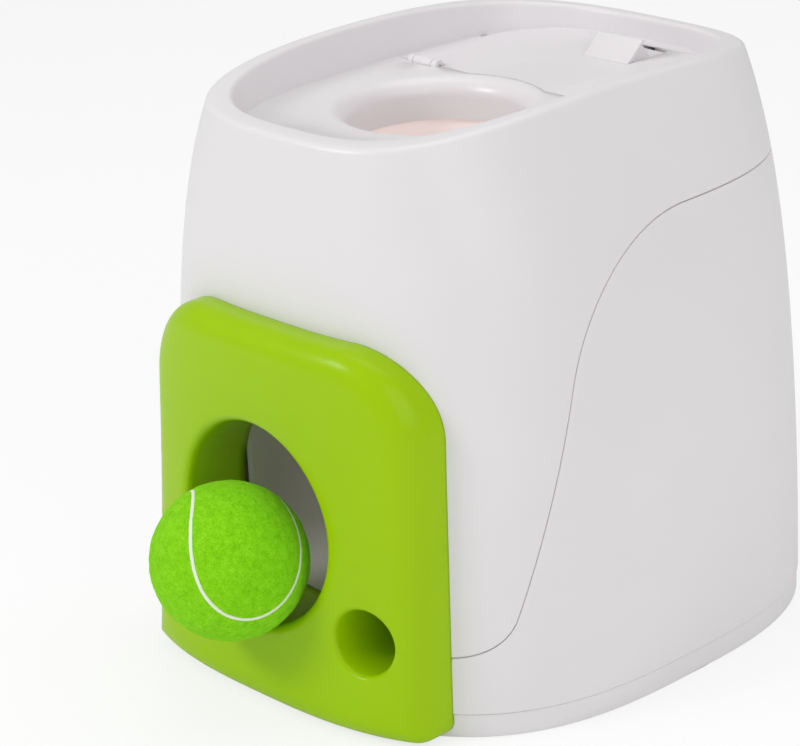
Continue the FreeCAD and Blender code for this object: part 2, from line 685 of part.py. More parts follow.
def make_lid_latch():
    """Return the square latch tab: grip ridges above, a wider slide below and a tongue."""
    top, low = TRAY_FLOOR_Z, TRAY_FLOOR_Z - LID_THICKNESS
    rear = latch_rear_y()
    front = rear - LATCH_LENGTH
    x0, x1 = LATCH_X - LATCH_HALF_WIDTH, LATCH_X + LATCH_HALF_WIDTH
    slide_end = HOPPER_REAR_Y - LATCH_TRAVEL - 1.0
    slide_top = low - SHELL_GAP
    tab = solid_box(x0, front, low, x1, rear, top)
    slide = solid_box(x0 - LATCH_PLATE_MARGIN, front - LATCH_PLATE_LEAD, slide_top - LATCH_PLATE,
                      x1 + LATCH_PLATE_MARGIN, slide_end, slide_top)
    neck = solid_box(x0 + 1, front, slide_top - 0.5, x1 - 1, slide_end, low + 0.5)
    tongue = solid_box(LATCH_X - LATCH_KEEP, rear - 1, low, LATCH_X + LATCH_KEEP, rear + LATCH_TONGUE,
                       low + LATCH_PLATE)
    ridges = [rod_x(0.7, x0 + 5, x1 - 5, rear - 5 - 3 * step, top) for step in range(3)]
    return largest(fused([tab, slide, neck, tongue] + ridges))


def make_drop_tube():
    """Return the tube that the ball falls down."""
    inner = INLET_RADIUS + INLET_WALL + SHELL_GAP
    top = TRAY_FLOOR_Z - INLET_FLARE + 1.6
    tube = rod_z(inner + TUBE_WALL, CHANNEL_TOP_Z, top, BALL_WAY_X, INLET_Y)
    return tube.cut(rod_z(inner, 0, FAR, BALL_WAY_X, INLET_Y))


def channel_axis_z(y):
    """Return the height of the channel's sloping centre line."""
    front = OUTLET_Z - OUTLET_RADIUS + CHANNEL_STEP + CHANNEL_RADIUS
    return front + (y - COLLAR_END_Y) * math.tan(math.radians(CHANNEL_SLOPE_DEG))


def channel_form(radius):
    """Return a sloping trough with upright sides and a round rear end, run past its front and top."""
    slope = math.radians(CHANNEL_SLOPE_DEG)
    start_y = COLLAR_END_Y - CHANNEL_OVERRUN
    low = Vector(BALL_WAY_X, start_y, channel_axis_z(start_y))
    high = Vector(BALL_WAY_X, INLET_Y, channel_axis_z(INLET_Y))
    half = Vector(radius, 0, 0)
    trough = Part.makeCylinder(radius, (high - low).Length, low, Vector(0, math.cos(slope), math.sin(slope)))
    knee = Part.makeSphere(radius, high)
    strip = Part.makePolygon([low - half, low + half, high + half, high - half, low - half])
    sides = Part.Face(Part.Wire(strip)).extrude(Vector(0, 0, FAR))
    back = rod_z(radius, high.z, high.z + FAR, BALL_WAY_X, INLET_Y)
    return fused([trough, knee, sides, back])


def lever_slots():
    """Return the windows in both channel walls that the lever's finger moves in."""
    reach = math.hypot(FINGER_Y - WHEEL_Y, FINGER_Z - WHEEL_Z)
    lifted = lever_angle() - math.radians(LEVER_TRAVEL_DEG)
    end_y, end_z = WHEEL_Y - reach * math.cos(lifted), WHEEL_Z - reach * math.sin(lifted)
    room = FINGER_RADIUS + FINGER_ROOM
    return solid_box(-FAR, end_y - room, FINGER_Z - room, FAR, FINGER_Y + room, end_z + room)


def channel_outside():
    """Return the channel's outer form between the panel's collar and the drop tube."""
    room = solid_box(-FAR, COLLAR_END_Y + SHELL_GAP, 0, FAR, FAR, CHANNEL_TOP_Z - SHELL_GAP)
    return channel_form(CHANNEL_RADIUS + CHANNEL_WALL).common(room)


def make_ball_channel():
    """Return the channel that turns the falling ball forwards, with the lever's windows."""
    return largest(channel_outside().cut(channel_form(CHANNEL_RADIUS)).cut(lever_slots()))


def make_channel_supports():
    """Return the two cross ribs that carry the channel on the base."""
    outside = channel_outside()
    supports = []
    for y in (FRONT_RIB_Y, INLET_Y):
        rib = solid_box(BALL_WAY_X - RIB_HALF_WIDTH, y - RIB_THICKNESS / 2, BASE_FLOOR,
                        BALL_WAY_X + RIB_HALF_WIDTH, y + RIB_THICKNESS / 2, OUTLET_Z)
        foot = solid_box(BALL_WAY_X - RIB_HALF_WIDTH, y - RIB_FOOT_HALF, BASE_FLOOR,
                         BALL_WAY_X + RIB_HALF_WIDTH, y + RIB_FOOT_HALF, BASE_FLOOR + RIB_FOOT_THICKNESS)
        supports.append(largest(fused([rib, foot]).cut(outside)))
    return Part.makeCompound(supports)


def plan_ring(x0, y0, x1, y1, z):
    """Return a level rectangular wire."""
    corners = [Vector(x0, y0, z), Vector(x1, y0, z), Vector(x1, y1, z), Vector(x0, y1, z)]
    return Part.makePolygon(corners + corners[:1])


def hopper_funnel(grow):
    """Return the hopper's form: a wide mouth that slopes to the throat over the wheel."""
    top = tray_seat_z() - SHELL_GAP
    out = grow - HOPPER_WALL
    mouth = (-HOPPER_HALF_WIDTH - out, HOPPER_FRONT_Y - out, HOPPER_HALF_WIDTH + out, HOPPER_REAR_Y + out)
    half_x, half_y = WHEEL_WIDTH / 2 + grow, SHROUD_MOUTH_HALF + out
    throat = (WHEEL_X - half_x, WHEEL_Y - half_y, WHEEL_X + half_x, WHEEL_Y + half_y)
    rings = [plan_ring(*mouth, top), plan_ring(*mouth, top - HOPPER_BRIM),
             plan_ring(*throat, HOPPER_MOUTH_Z + HOPPER_SPOUT), plan_ring(*throat, HOPPER_MOUTH_Z)]
    return fused([Part.makeLoft([above, below], True, True) for above, below in zip(rings, rings[1:])])


def make_treat_hopper():
    """Return the treat hopper with its flange under the tray."""
    top = tray_seat_z() - SHELL_GAP
    outer, inner = hopper_funnel(HOPPER_WALL), hopper_funnel(0)
    flange = hopper_opening(HOPPER_FLANGE, top - HOPPER_WALL, top).cut(hopper_opening(-1, 0, FAR))
    keep_off = rod_z(INLET_RADIUS + INLET_WALL + TUBE_WALL + 2 * SHELL_GAP, 0, FAR, BALL_WAY_X, INLET_Y)
    whole = fused([outer, flange]).cut(inner).cut(hopper_opening(-HOPPER_WALL, top - 6, FAR)).cut(keep_off)
    return largest(whole)


def plate_inner_xs():
    """Return the inner X of the left and right frame plates."""
    half = WHEEL_WIDTH / 2 + PLATE_GAP
    return WHEEL_X - half, WHEEL_X + half


def make_treat_wheel():
    """Return the wheel with its ring of round pockets."""
    x0, x1 = WHEEL_X - WHEEL_WIDTH / 2, WHEEL_X + WHEEL_WIDTH / 2
    wheel = rod_x(WHEEL_RADIUS, x0, x1, WHEEL_Y, WHEEL_Z)
    reach = PLATE_GAP - HUB_GAP
    hubs = rod_x(HUB_RADIUS, x0 - reach, x1 + reach, WHEEL_Y, WHEEL_Z)
    pockets = []
    for step in range(POCKET_COUNT):
        angle = math.pi / 2 + 2 * math.pi * step / POCKET_COUNT
        y = WHEEL_Y + (WHEEL_RADIUS - 1) * math.cos(angle)
        z = WHEEL_Z + (WHEEL_RADIUS - 1) * math.sin(angle)
        pockets.append(rod_x(POCKET_RADIUS, x0 + 2, x1 - 2, y, z))
    whole = fused([wheel, hubs]).cut(pockets)
    return largest(whole.cut(rod_x(SHAFT_RADIUS, 0, FAR, WHEEL_Y, WHEEL_Z)))


def ratchet_xs():
    """Return where the ratchet lies between the lever and the left frame plate."""
    x1 = plate_inner_xs()[0] - PLATE_THICKNESS - BUSH_FLANGE - SHELL_GAP
    return x1 - RATCHET_WIDTH, x1


def make_ratchet_wheel():
    """Return the ratchet: saw teeth that are steep on one side."""
    x0, x1 = ratchet_xs()
    points = []
    for step in range(RATCHET_TEETH):
        for share, radius in ((0.0, RATCHET_RADIUS), (0.06, RATCHET_RADIUS - RATCHET_TOOTH)):
            angle = 2 * math.pi * (step + share) / RATCHET_TEETH
            points.append(Vector(x0, WHEEL_Y + radius * math.cos(angle), WHEEL_Z + radius * math.sin(angle)))
    points.append(points[0])
    disc = Part.Face(Part.Wire(Part.makePolygon(points))).extrude(Vector(x1 - x0, 0, 0))
    return disc.cut(rod_x(SHAFT_RADIUS, 0, FAR, WHEEL_Y, WHEEL_Z))


def lever_xs():
    """Return where the lever's flat arm lies beside the ratchet."""
    x1 = ratchet_xs()[0] - SHELL_GAP
    return x1 - LEVER_THICKNESS, x1


def make_wheel_axle():
    """Return the shaft with a head beyond the right plate."""
    right = plate_inner_xs()[1] + PLATE_THICKNESS + BUSH_FLANGE + SHELL_GAP
    shaft = rod_x(SHAFT_RADIUS, lever_xs()[0] - 0.6, right + 2, WHEEL_Y, WHEEL_Z)
    head = rod_x(SHAFT_RADIUS + 1.6, right, right + 2, WHEEL_Y, WHEEL_Z)
    return fused([shaft, head])


def make_axle_bushes():
    """Return the two flanged bushes that the shaft turns in."""
    bushes = []
    for inner, out in zip(plate_inner_xs(), (-1, 1)):
        far = inner + out * PLATE_THICKNESS
        tip = far + out * BUSH_FLANGE
        body = rod_x(BUSH_RADIUS, min(inner, far), max(inner, far), WHEEL_Y, WHEEL_Z)
        flange = rod_x(BUSH_FLANGE_RADIUS, min(far, tip), max(far, tip), WHEEL_Y, WHEEL_Z)
        hole = rod_x(SHAFT_RADIUS + SHAFT_CLEARANCE, 0, FAR, WHEEL_Y, WHEEL_Z)
        bushes.append(fused([body, flange]).cut(hole))
    return Part.makeCompound(bushes)


def make_mechanism_frame():
    """Return the two plates and their ties that carry the shaft above the base."""
    whole = []
    near = math.sqrt(0.5)
    foot_y0, foot_y1 = WHEEL_Y - PLATE_FOOT_HALF, WHEEL_Y + PLATE_FOOT_HALF
    foot_z = BASE_FLOOR
    for inner, out in zip(plate_inner_xs(), (-1, 1)):
        x = inner if out > 0 else inner - PLATE_THICKNESS
        arc = (Vector(x, WHEEL_Y - PLATE_TOP_HALF, WHEEL_Z), Vector(x, WHEEL_Y, WHEEL_Z + PLATE_TOP_HALF),
               Vector(x, WHEEL_Y + PLATE_TOP_HALF, WHEEL_Z))
        edges = [
            Part.LineSegment(Vector(x, foot_y0, foot_z), arc[0]).toShape(),
            Part.Arc(*arc).toShape(),
            Part.LineSegment(arc[2], Vector(x, foot_y1, foot_z)).toShape(),
            Part.LineSegment(Vector(x, foot_y1, foot_z), Vector(x, foot_y0, foot_z)).toShape(),
        ]
        plate = Part.Face(Part.Wire(edges)).extrude(Vector(PLATE_THICKNESS, 0, 0))
        foot = solid_box(min(x, x + out * 6), foot_y0, foot_z, max(x, x + out * 6) + PLATE_THICKNESS, foot_y1,
                         foot_z + 2)
        whole += [plate, foot]
    x0, x1 = plate_inner_xs()
    for side in (-1, 1):
        whole.append(rod_x(TIE_RADIUS, x0 - 1, x1 + 1, WHEEL_Y + side * TIE_HALF_SPACING, TIE_Z))
    frame = fused(whole).cut(rod_x(BUSH_RADIUS, 0, FAR, WHEEL_Y, WHEEL_Z))
    return largest(frame)


def make_wheel_shroud():
    """Return the drum wall round the wheel, open to the hopper above and the chute below."""
    x0, x1 = plate_inner_xs()
    inner = WHEEL_RADIUS + SHROUD_GAP
    drum = rod_x(inner + SHROUD_WALL, x0, x1, WHEEL_Y, WHEEL_Z).cut(rod_x(inner, 0, FAR, WHEEL_Y, WHEEL_Z))
    top = solid_box(0, WHEEL_Y - SHROUD_MOUTH_HALF, WHEEL_Z, FAR, WHEEL_Y + SHROUD_MOUTH_HALF, FAR)
    low = solid_box(0, WHEEL_Y - FAR, 0, FAR, WHEEL_Y + FAR, WHEEL_Z - WHEEL_RADIUS * SHROUD_LOW_SHARE)
    return Part.makeCompound(drum.cut([top, low]).Solids)


def lever_angle():
    """Return the lever's resting angle from -Y, downwards positive."""
    return math.atan2(WHEEL_Z - FINGER_Z, WHEEL_Y - FINGER_Y)


def make_trip_lever():
    """Return the lever: a hub on the shaft, a slim arm and the finger in the ball's way."""
    x0, x1 = lever_xs()
    hub = rod_x(HUB_RADIUS, x0, x1, WHEEL_Y, WHEEL_Z)
    tip = rod_x(LEVER_ARM_HALF + 1.5, x0, x1, FINGER_Y, FINGER_Z)
    angle = lever_angle()
    side = Vector(0, -math.sin(angle), math.cos(angle))
    hub_at, tip_at = Vector(x0, WHEEL_Y, WHEEL_Z), Vector(x0, FINGER_Y, FINGER_Z)
    arm = Part.Face(Part.Wire(Part.makePolygon([
        hub_at + side * HUB_RADIUS, tip_at + side * LEVER_ARM_HALF,
        tip_at - side * LEVER_ARM_HALF, hub_at - side * HUB_RADIUS,
        hub_at + side * HUB_RADIUS]))).extrude(Vector(LEVER_THICKNESS, 0, 0))
    finger = rod_x(FINGER_RADIUS, FINGER_TIP_X, x0 + 1, FINGER_Y, FINGER_Z)
    ball_end = Part.makeSphere(FINGER_RADIUS, Vector(FINGER_TIP_X, FINGER_Y, FINGER_Z))
    y, z = pawl_pivot()
    pin = rod_x(PAWL_PIN_RADIUS, x0, ratchet_xs()[1] - 0.2, y, z)
    pad = rod_x(PAWL_HALF + 1.4, x0, x1, y, z)
    whole = fused([hub, tip, arm, finger, ball_end, pad, pin])
    return largest(whole.cut(rod_x(SHAFT_RADIUS + SHAFT_CLEARANCE, 0, FAR, WHEEL_Y, WHEEL_Z)))


def pawl_pivot():
    """Return the Y and Z of the pawl's pivot, on the lever's arm."""
    angle = lever_angle()
    return WHEEL_Y - PAWL_PIVOT_RADIUS * math.cos(angle), WHEEL_Z - PAWL_PIVOT_RADIUS * math.sin(angle)


def make_drive_pawl():
    """Return the pawl that hangs on the lever and rests on the ratchet's teeth."""
    x0, x1 = ratchet_xs()
    y, z = pawl_pivot()
    touch = RATCHET_RADIUS + 2 * MOVING_GAP
    angle = lever_angle() - math.radians(PAWL_SWING_DEG)
    tip = Vector(x0, WHEEL_Y - touch * math.cos(angle), WHEEL_Z - touch * math.sin(angle))
    back = Vector(x0, y, z)
    along = (tip - back).normalize()
    side = Vector(0, -along.z, along.y)
    blade = Part.Face(Part.Wire(Part.makePolygon([
        back + side * PAWL_HALF, back + side * PAWL_HALF + along * 12, tip,
        back - side * PAWL_HALF + along * 8, back - side * PAWL_HALF,
        back + side * PAWL_HALF]))).extrude(Vector(x1 - x0, 0, 0))
    eye = rod_x(PAWL_HALF, x0, x1, y, z)
    whole = fused([blade, eye]).cut(rod_x(PAWL_PIN_RADIUS + SHAFT_CLEARANCE, 0, FAR, y, z))
    return largest(whole)


def chute_ring(y, middle_x, half, z0, z1):
    """Return an upright rectangular wire across the chute."""
    corners = [Vector(middle_x - half, y, z0), Vector(middle_x + half, y, z0),
               Vector(middle_x + half, y, z1), Vector(middle_x - half, y, z1)]
    return Part.makePolygon(corners + corners[:1])


def chute_form(grow, rise):
    """Return the chute's tapering form: wider by grow at its sides and floor, higher by rise."""
    front_z = SPOUT_Z - SPOUT_RADIUS + CHUTE_STEP
    front = chute_ring(COLLAR_END_Y + SHELL_GAP, SPOUT_X, CHUTE_FRONT_HALF + grow,
                       front_z - grow, front_z + CHUTE_FRONT_WALL + rise)
    rear = chute_ring(CHUTE_REAR_Y, WHEEL_X, CHUTE_REAR_HALF + grow,
                      CHUTE_REAR_Z - grow, CHUTE_REAR_Z + CHUTE_REAR_WALL + rise)
    return Part.makeLoft([front, rear], True, True)


def make_treat_chute():
    """Return the open chute with a closed rear end and its rib."""
    outer = chute_form(CHUTE_WALL, 0)
    inner = chute_form(0, FAR / 10)
    inner = inner.cut(solid_box(-FAR, CHUTE_REAR_Y - CHUTE_WALL, 0, FAR, FAR, FAR))
    x0, x1 = SPOUT_X - CHUTE_RIB_HALF, SPOUT_X + CHUTE_RIB_HALF
    rib = solid_box(x0, CHUTE_RIB_Y - RIB_THICKNESS / 2, BASE_FLOOR, x1, CHUTE_RIB_Y + RIB_THICKNESS / 2,
                    CHUTE_RIB_TOP)
    foot = solid_box(x0, CHUTE_RIB_Y - RIB_FOOT_HALF, BASE_FLOOR, x1, CHUTE_RIB_Y + RIB_FOOT_HALF,
                     BASE_FLOOR + RIB_FOOT_THICKNESS)
    return largest(fused([outer, rib, foot]).cut(inner))


def screw(x, y, z, direction, length):
    """Return a pan-head screw, its head's underside at the point."""
    shank = Part.makeCylinder(SCREW_RADIUS - THREAD_GAP, length, Vector(x, y, z), direction)
    head = Part.makeCylinder(SCREW_HEAD_RADIUS, SCREW_HEAD_HEIGHT, Vector(x, y, z), -direction)
    return fused([shank, head])


def make_base_screws():
    """Return the screws that hold the base."""
    up = Vector(0, 0, 1)
    return Part.makeCompound([screw(x, y, BASE_SCREW_SEAT, up, BASE_SCREW_LENGTH)
                              for x, y in base_screw_places()])


def make_rubber_feet():
    """Return the four inlaid anti-slip discs."""
    return Part.makeCompound([rod_z(FOOT_RADIUS, 0, FOOT_DEPTH, x, y) for x, y in foot_places()])


def make_panel_screws():
    """Return the screws that pull the panel on from inside."""
    forward = Vector(0, -1, 0)
    return Part.makeCompound([screw(x, panel_screw_seat_y(x, z), z, forward, PANEL_SCREW_LENGTH)
                              for x, z in panel_screw_places()])


def make_hinge_pins():
    """Return the two pins of the lid's hinge."""
    return Part.makeCompound(hinge_barrels(PIN_RADIUS, HINGE_BARREL_HALF + SHELL_GAP + HINGE_EAR))


def make_axle_clip():
    """Return the open ring that keeps the lever on the shaft."""
    x1 = lever_xs()[0] - 0.1
    ring = rod_x(SHAFT_RADIUS + 1.6, x1 - 0.5, x1, WHEEL_Y, WHEEL_Z)
    return ring.cut(rod_x(SHAFT_RADIUS, 0, FAR, WHEEL_Y, WHEEL_Z)).cut(
        solid_box(0, WHEEL_Y - 1.6, WHEEL_Z - 10, FAR, WHEEL_Y + 1.6, WHEEL_Z))


def ball_centre():
    """Return the ball's place as it rolls off the outlet's rounded lip."""
    lip_y = front_wall_y(BALL_WAY_X, OUTLET_Z - OUTLET_RADIUS, -PANEL_PROUD) + OUTLET_ROUND
    lip_z = OUTLET_Z - OUTLET_RADIUS - OUTLET_ROUND
    tip = math.radians(BALL_TIP_DEG)
    reach = OUTLET_ROUND + BALL_RADIUS + SHELL_GAP
    return Vector(BALL_WAY_X, lip_y - reach * math.sin(tip), lip_z + reach * math.cos(tip))


def make_play_ball():
    """Return the felt ball."""
    return Part.makeSphere(BALL_RADIUS, ball_centre())


PIECES = {
    "base_plate": make_base_plate,
    "rubber_feet": make_rubber_feet,
    "base_screws": make_base_screws,
    "lower_housing": make_lower_housing,
    "upper_housing": make_upper_housing,
    "front_panel": make_front_panel,
    "panel_screws": make_panel_screws,
    "top_tray": make_top_tray,
    "tray_screws": make_tray_screws,
    "hopper_lid": make_hopper_lid,
    "lid_hinge_pins": make_hinge_pins,
    "lid_latch": make_lid_latch,
    "drop_tube": make_drop_tube,
    "ball_channel": make_ball_channel,
    "channel_supports": make_channel_supports,
    "treat_hopper": make_treat_hopper,
    "mechanism_frame": make_mechanism_frame,
    "axle_bushes": make_axle_bushes,
    "wheel_axle": make_wheel_axle,
    "treat_wheel": make_treat_wheel,
    "wheel_shroud": make_wheel_shroud,
    "ratchet_wheel": make_ratchet_wheel,
    "trip_lever": make_trip_lever,
    "axle_clip": make_axle_clip,
    "drive_pawl": make_drive_pawl,
    "treat_chute": make_treat_chute,
    "play_ball": make_play_ball,
}


if __name__ == "__main__":
    os.makedirs("parts", exist_ok=True)
    for piece_name, make in PIECES.items():
        save(make(), piece_name)
    print("ball", ball_centre(), "pawl pivot", pawl_pivot())
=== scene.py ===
"""Looks of the gravity-fed ball and treat launcher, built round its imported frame.

Lengths are metres in the frame's axes: the front faces -Y, +X is the side with the small
outlet and +Z is up. Every visible shell is a surface worked out on a grid of two
parameters, and every finish is a procedural material.
"""
from __future__ import annotations

import logging
import math
from dataclasses import dataclass, field
from enum import Enum
from typing import Any, Sequence

import bmesh
import bpy
import numpy as np
from mathutils import Matrix, Vector
from mathutils.geometry import delaunay_2d_cdt


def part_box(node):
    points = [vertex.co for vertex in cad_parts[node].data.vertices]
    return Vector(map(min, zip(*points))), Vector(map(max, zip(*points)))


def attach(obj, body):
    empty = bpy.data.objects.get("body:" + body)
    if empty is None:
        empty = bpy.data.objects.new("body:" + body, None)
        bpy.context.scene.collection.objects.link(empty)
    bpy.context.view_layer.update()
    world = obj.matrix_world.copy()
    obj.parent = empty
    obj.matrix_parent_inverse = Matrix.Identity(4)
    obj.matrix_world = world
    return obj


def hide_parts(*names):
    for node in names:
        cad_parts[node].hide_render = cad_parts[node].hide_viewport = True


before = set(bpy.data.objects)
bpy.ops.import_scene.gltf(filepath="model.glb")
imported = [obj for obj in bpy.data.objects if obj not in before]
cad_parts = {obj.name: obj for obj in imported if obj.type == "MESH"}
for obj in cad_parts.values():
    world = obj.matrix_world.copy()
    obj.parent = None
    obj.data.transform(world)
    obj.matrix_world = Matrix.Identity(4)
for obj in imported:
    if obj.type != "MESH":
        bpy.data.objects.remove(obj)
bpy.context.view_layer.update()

LOG = logging.getLogger("launcher")
MM = 0.001
TAU = 2.0 * math.pi
Array = np.ndarray


class Body(str, Enum):
    """Moving bodies of the frame that pieces ride on."""

    HOUSING = "housing"
    LID = "lid"
    LATCH = "latch"
    WHEEL = "wheel"
    LEVER = "lever"
    PAWL = "pawl"
    BALL = "ball"


class Closing(Enum):
    """How the rows and columns of a grid surface join up."""

    COLUMNS = "columns"
    BOTH = "both"


@dataclass(frozen=True)
class BodyForm:
    """The housing's outer form: rounded-square sections that narrow and lean as they rise."""

    height: float = 250 * MM
    half_x: float = 122 * MM
    half_y: float = 127.5 * MM
    swell: float = 0.107
    taper: float = 0.355
    front_taper: float = 0.207
    front_recovery: float = 0.200
    lean: float = 6.2 * MM
    shoulder: float = 11.9 * MM
    shoulder_power: float = 5.9
    corner_base: float = 2.85
    corner_top: float = 3.1
    arch: float = 753 * MM

    def sizes(self, z: Array) -> tuple[Array, Array, Array, Array]:
        """Work out a section's half sizes, corner power and shift.

        Args:
            z: Heights.

        Returns:
            Half width, half depth, corner power and shift along Y at each height.
        """
        s = np.clip(z, 0.0, None) / self.height
        turn = self.shoulder * s ** self.shoulder_power
        half_x = self.half_x * (1 + self.swell * s - self.taper * s * s) - turn
        half_y = self.half_y * (1 - self.front_taper * s + self.front_recovery * s * s) - turn
        power = self.corner_base + (self.corner_top - self.corner_base) * s
        return half_x, half_y, power, self.lean * s

    def at(self, angle: Array, z: Array, inset: Array | float = 0.0) -> Array:
        """Return points of the form: |x/a|^n + |y/b|^n = 1 at each height, moved inwards.

        Args:
            angle: Plan angles.
            z: Heights, of the same shape.
            inset: How far the section is moved inwards.

        Returns:
            Points, with a last axis of three.
        """
        half_x, half_y, power, shift = self.sizes(z)
        c, s = np.cos(angle), np.sin(angle)
        reach = (np.abs(c) ** power + np.abs(s) ** power) ** (-1 / power)
        return np.stack([(half_x - inset) * reach * c, (half_y - inset) * reach * s + shift, z], -1)

    def front_y(self, x: Array, z: Array, proud: Array | float = 0.0) -> Array:
        """Return the front's Y over a place in the XZ plane.

        Args:
            x: Places across.
            z: Heights.
            proud: How far outwards of the housing the surface stands.

        Returns:
            The Y of the surface.
        """
        half_x, half_y, power, shift = self.sizes(z)
        inner = np.clip(1 - np.abs(x / (half_x + proud)) ** power, 1e-4, 1.0)
        return shift - (half_y + proud) * inner ** (1 / power)

    def rim_z(self, y: Array, drop: float = 0.0) -> Array:
        """Return the height of the rim's long arch at a depth."""
        return self.height - drop - self.arch + np.sqrt(self.arch ** 2 - y ** 2)


@dataclass(frozen=True)
class Seam:
    """The S-shaped line between the two housing mouldings, seen from the side."""

    high: float = 200 * MM
    low: float = 35 * MM
    foot_y: float = -92 * MM
    lean: float = math.radians(18.2)
    upper_radius: float = 82 * MM
    lower_radius: float = 24 * MM
    gap: float = 0.4 * MM

    def z_at(self, y: Array) -> tuple[Array, Array]:
        """Return the seam's height and steepness: level, arc, straight rise, arc, level.

        Args:
            y: Depths.

        Returns:
            Heights, and slopes dz/dy.
        """
        half = math.tan((math.pi / 2 - self.lean) / 2)
        cos_l, sin_l = math.cos(self.lean), math.sin(self.lean)
        low_in = self.foot_y - self.lower_radius * half
        low_out = self.foot_y + self.lower_radius * half * sin_l
        head_y = self.foot_y + (self.high - self.low) * math.tan(self.lean)
        high_in = head_y - self.upper_radius * half * sin_l
        high_out = head_y + self.upper_radius * half
        low_dy = np.clip((y - low_in) / self.lower_radius, 0.0, cos_l)
        high_dy = np.clip((high_out - y) / self.upper_radius, 0.0, cos_l)
        low_z = self.low + self.lower_radius * (1 - np.sqrt(1 - low_dy ** 2))
        high_z = self.high - self.upper_radius * (1 - np.sqrt(1 - high_dy ** 2))
        rise_z = self.low + (y - self.foot_y) / math.tan(self.lean)
        z = np.where(y < low_out, low_z, np.where(y > high_in, high_z, rise_z))
        low_slope = low_dy / np.sqrt(1 - low_dy ** 2)
        high_slope = high_dy / np.sqrt(1 - high_dy ** 2)
        slope = np.where(y < low_out, low_slope, np.where(y > high_in, high_slope, 1 / math.tan(self.lean)))
        return z, slope

    def on(self, form: BodyForm, angle: Array) -> tuple[Array, Array]:
        """Return the seam's height and steepness round the body by repeated substitution.

        Args:
            form: The body's form.
            angle: Plan angles.

        Returns:
            Heights and slopes at each angle.
        """
        z = np.full_like(angle, 0.12)
        slope = np.zeros_like(angle)
        for _ in range(60):
            target, slope = self.z_at(form.at(angle, z)[..., 1])
            z = z + 0.6 * (target - z)
        return z, slope


@dataclass(frozen=True)
class Well:
    """The tray's well in the top: a rounded outline that narrows downwards."""

    half_x: float = 76.2 * MM
    half_y: float = 111.2 * MM
    power: float = 3.1
    draft: float = 3.5 * MM
    floor: float = 232 * MM
    top: float = 250 * MM
    shift: float = 6.2 * MM

    def at(self, angle: Array, z: Array, grow: Array | float = 0.0) -> Array:
        """Return points of the well's wall: |x/a|^n + |y/b|^n = 1, grown outwards.

        Args:
            angle: Plan angles.
            z: Heights.
            grow: How far the wall is moved outwards.

        Returns:
            Points, with a last axis of three.
        """
        draft = self.draft * (self.top - z) / (self.top - self.floor)
        c, s = np.cos(angle), np.sin(angle)
        reach = (np.abs(c) ** self.power + np.abs(s) ** self.power) ** (-1 / self.power)
        return np.stack([(self.half_x - draft + grow) * reach * c,
                         (self.half_y - draft + grow) * reach * s + self.shift, z + 0 * c], -1)


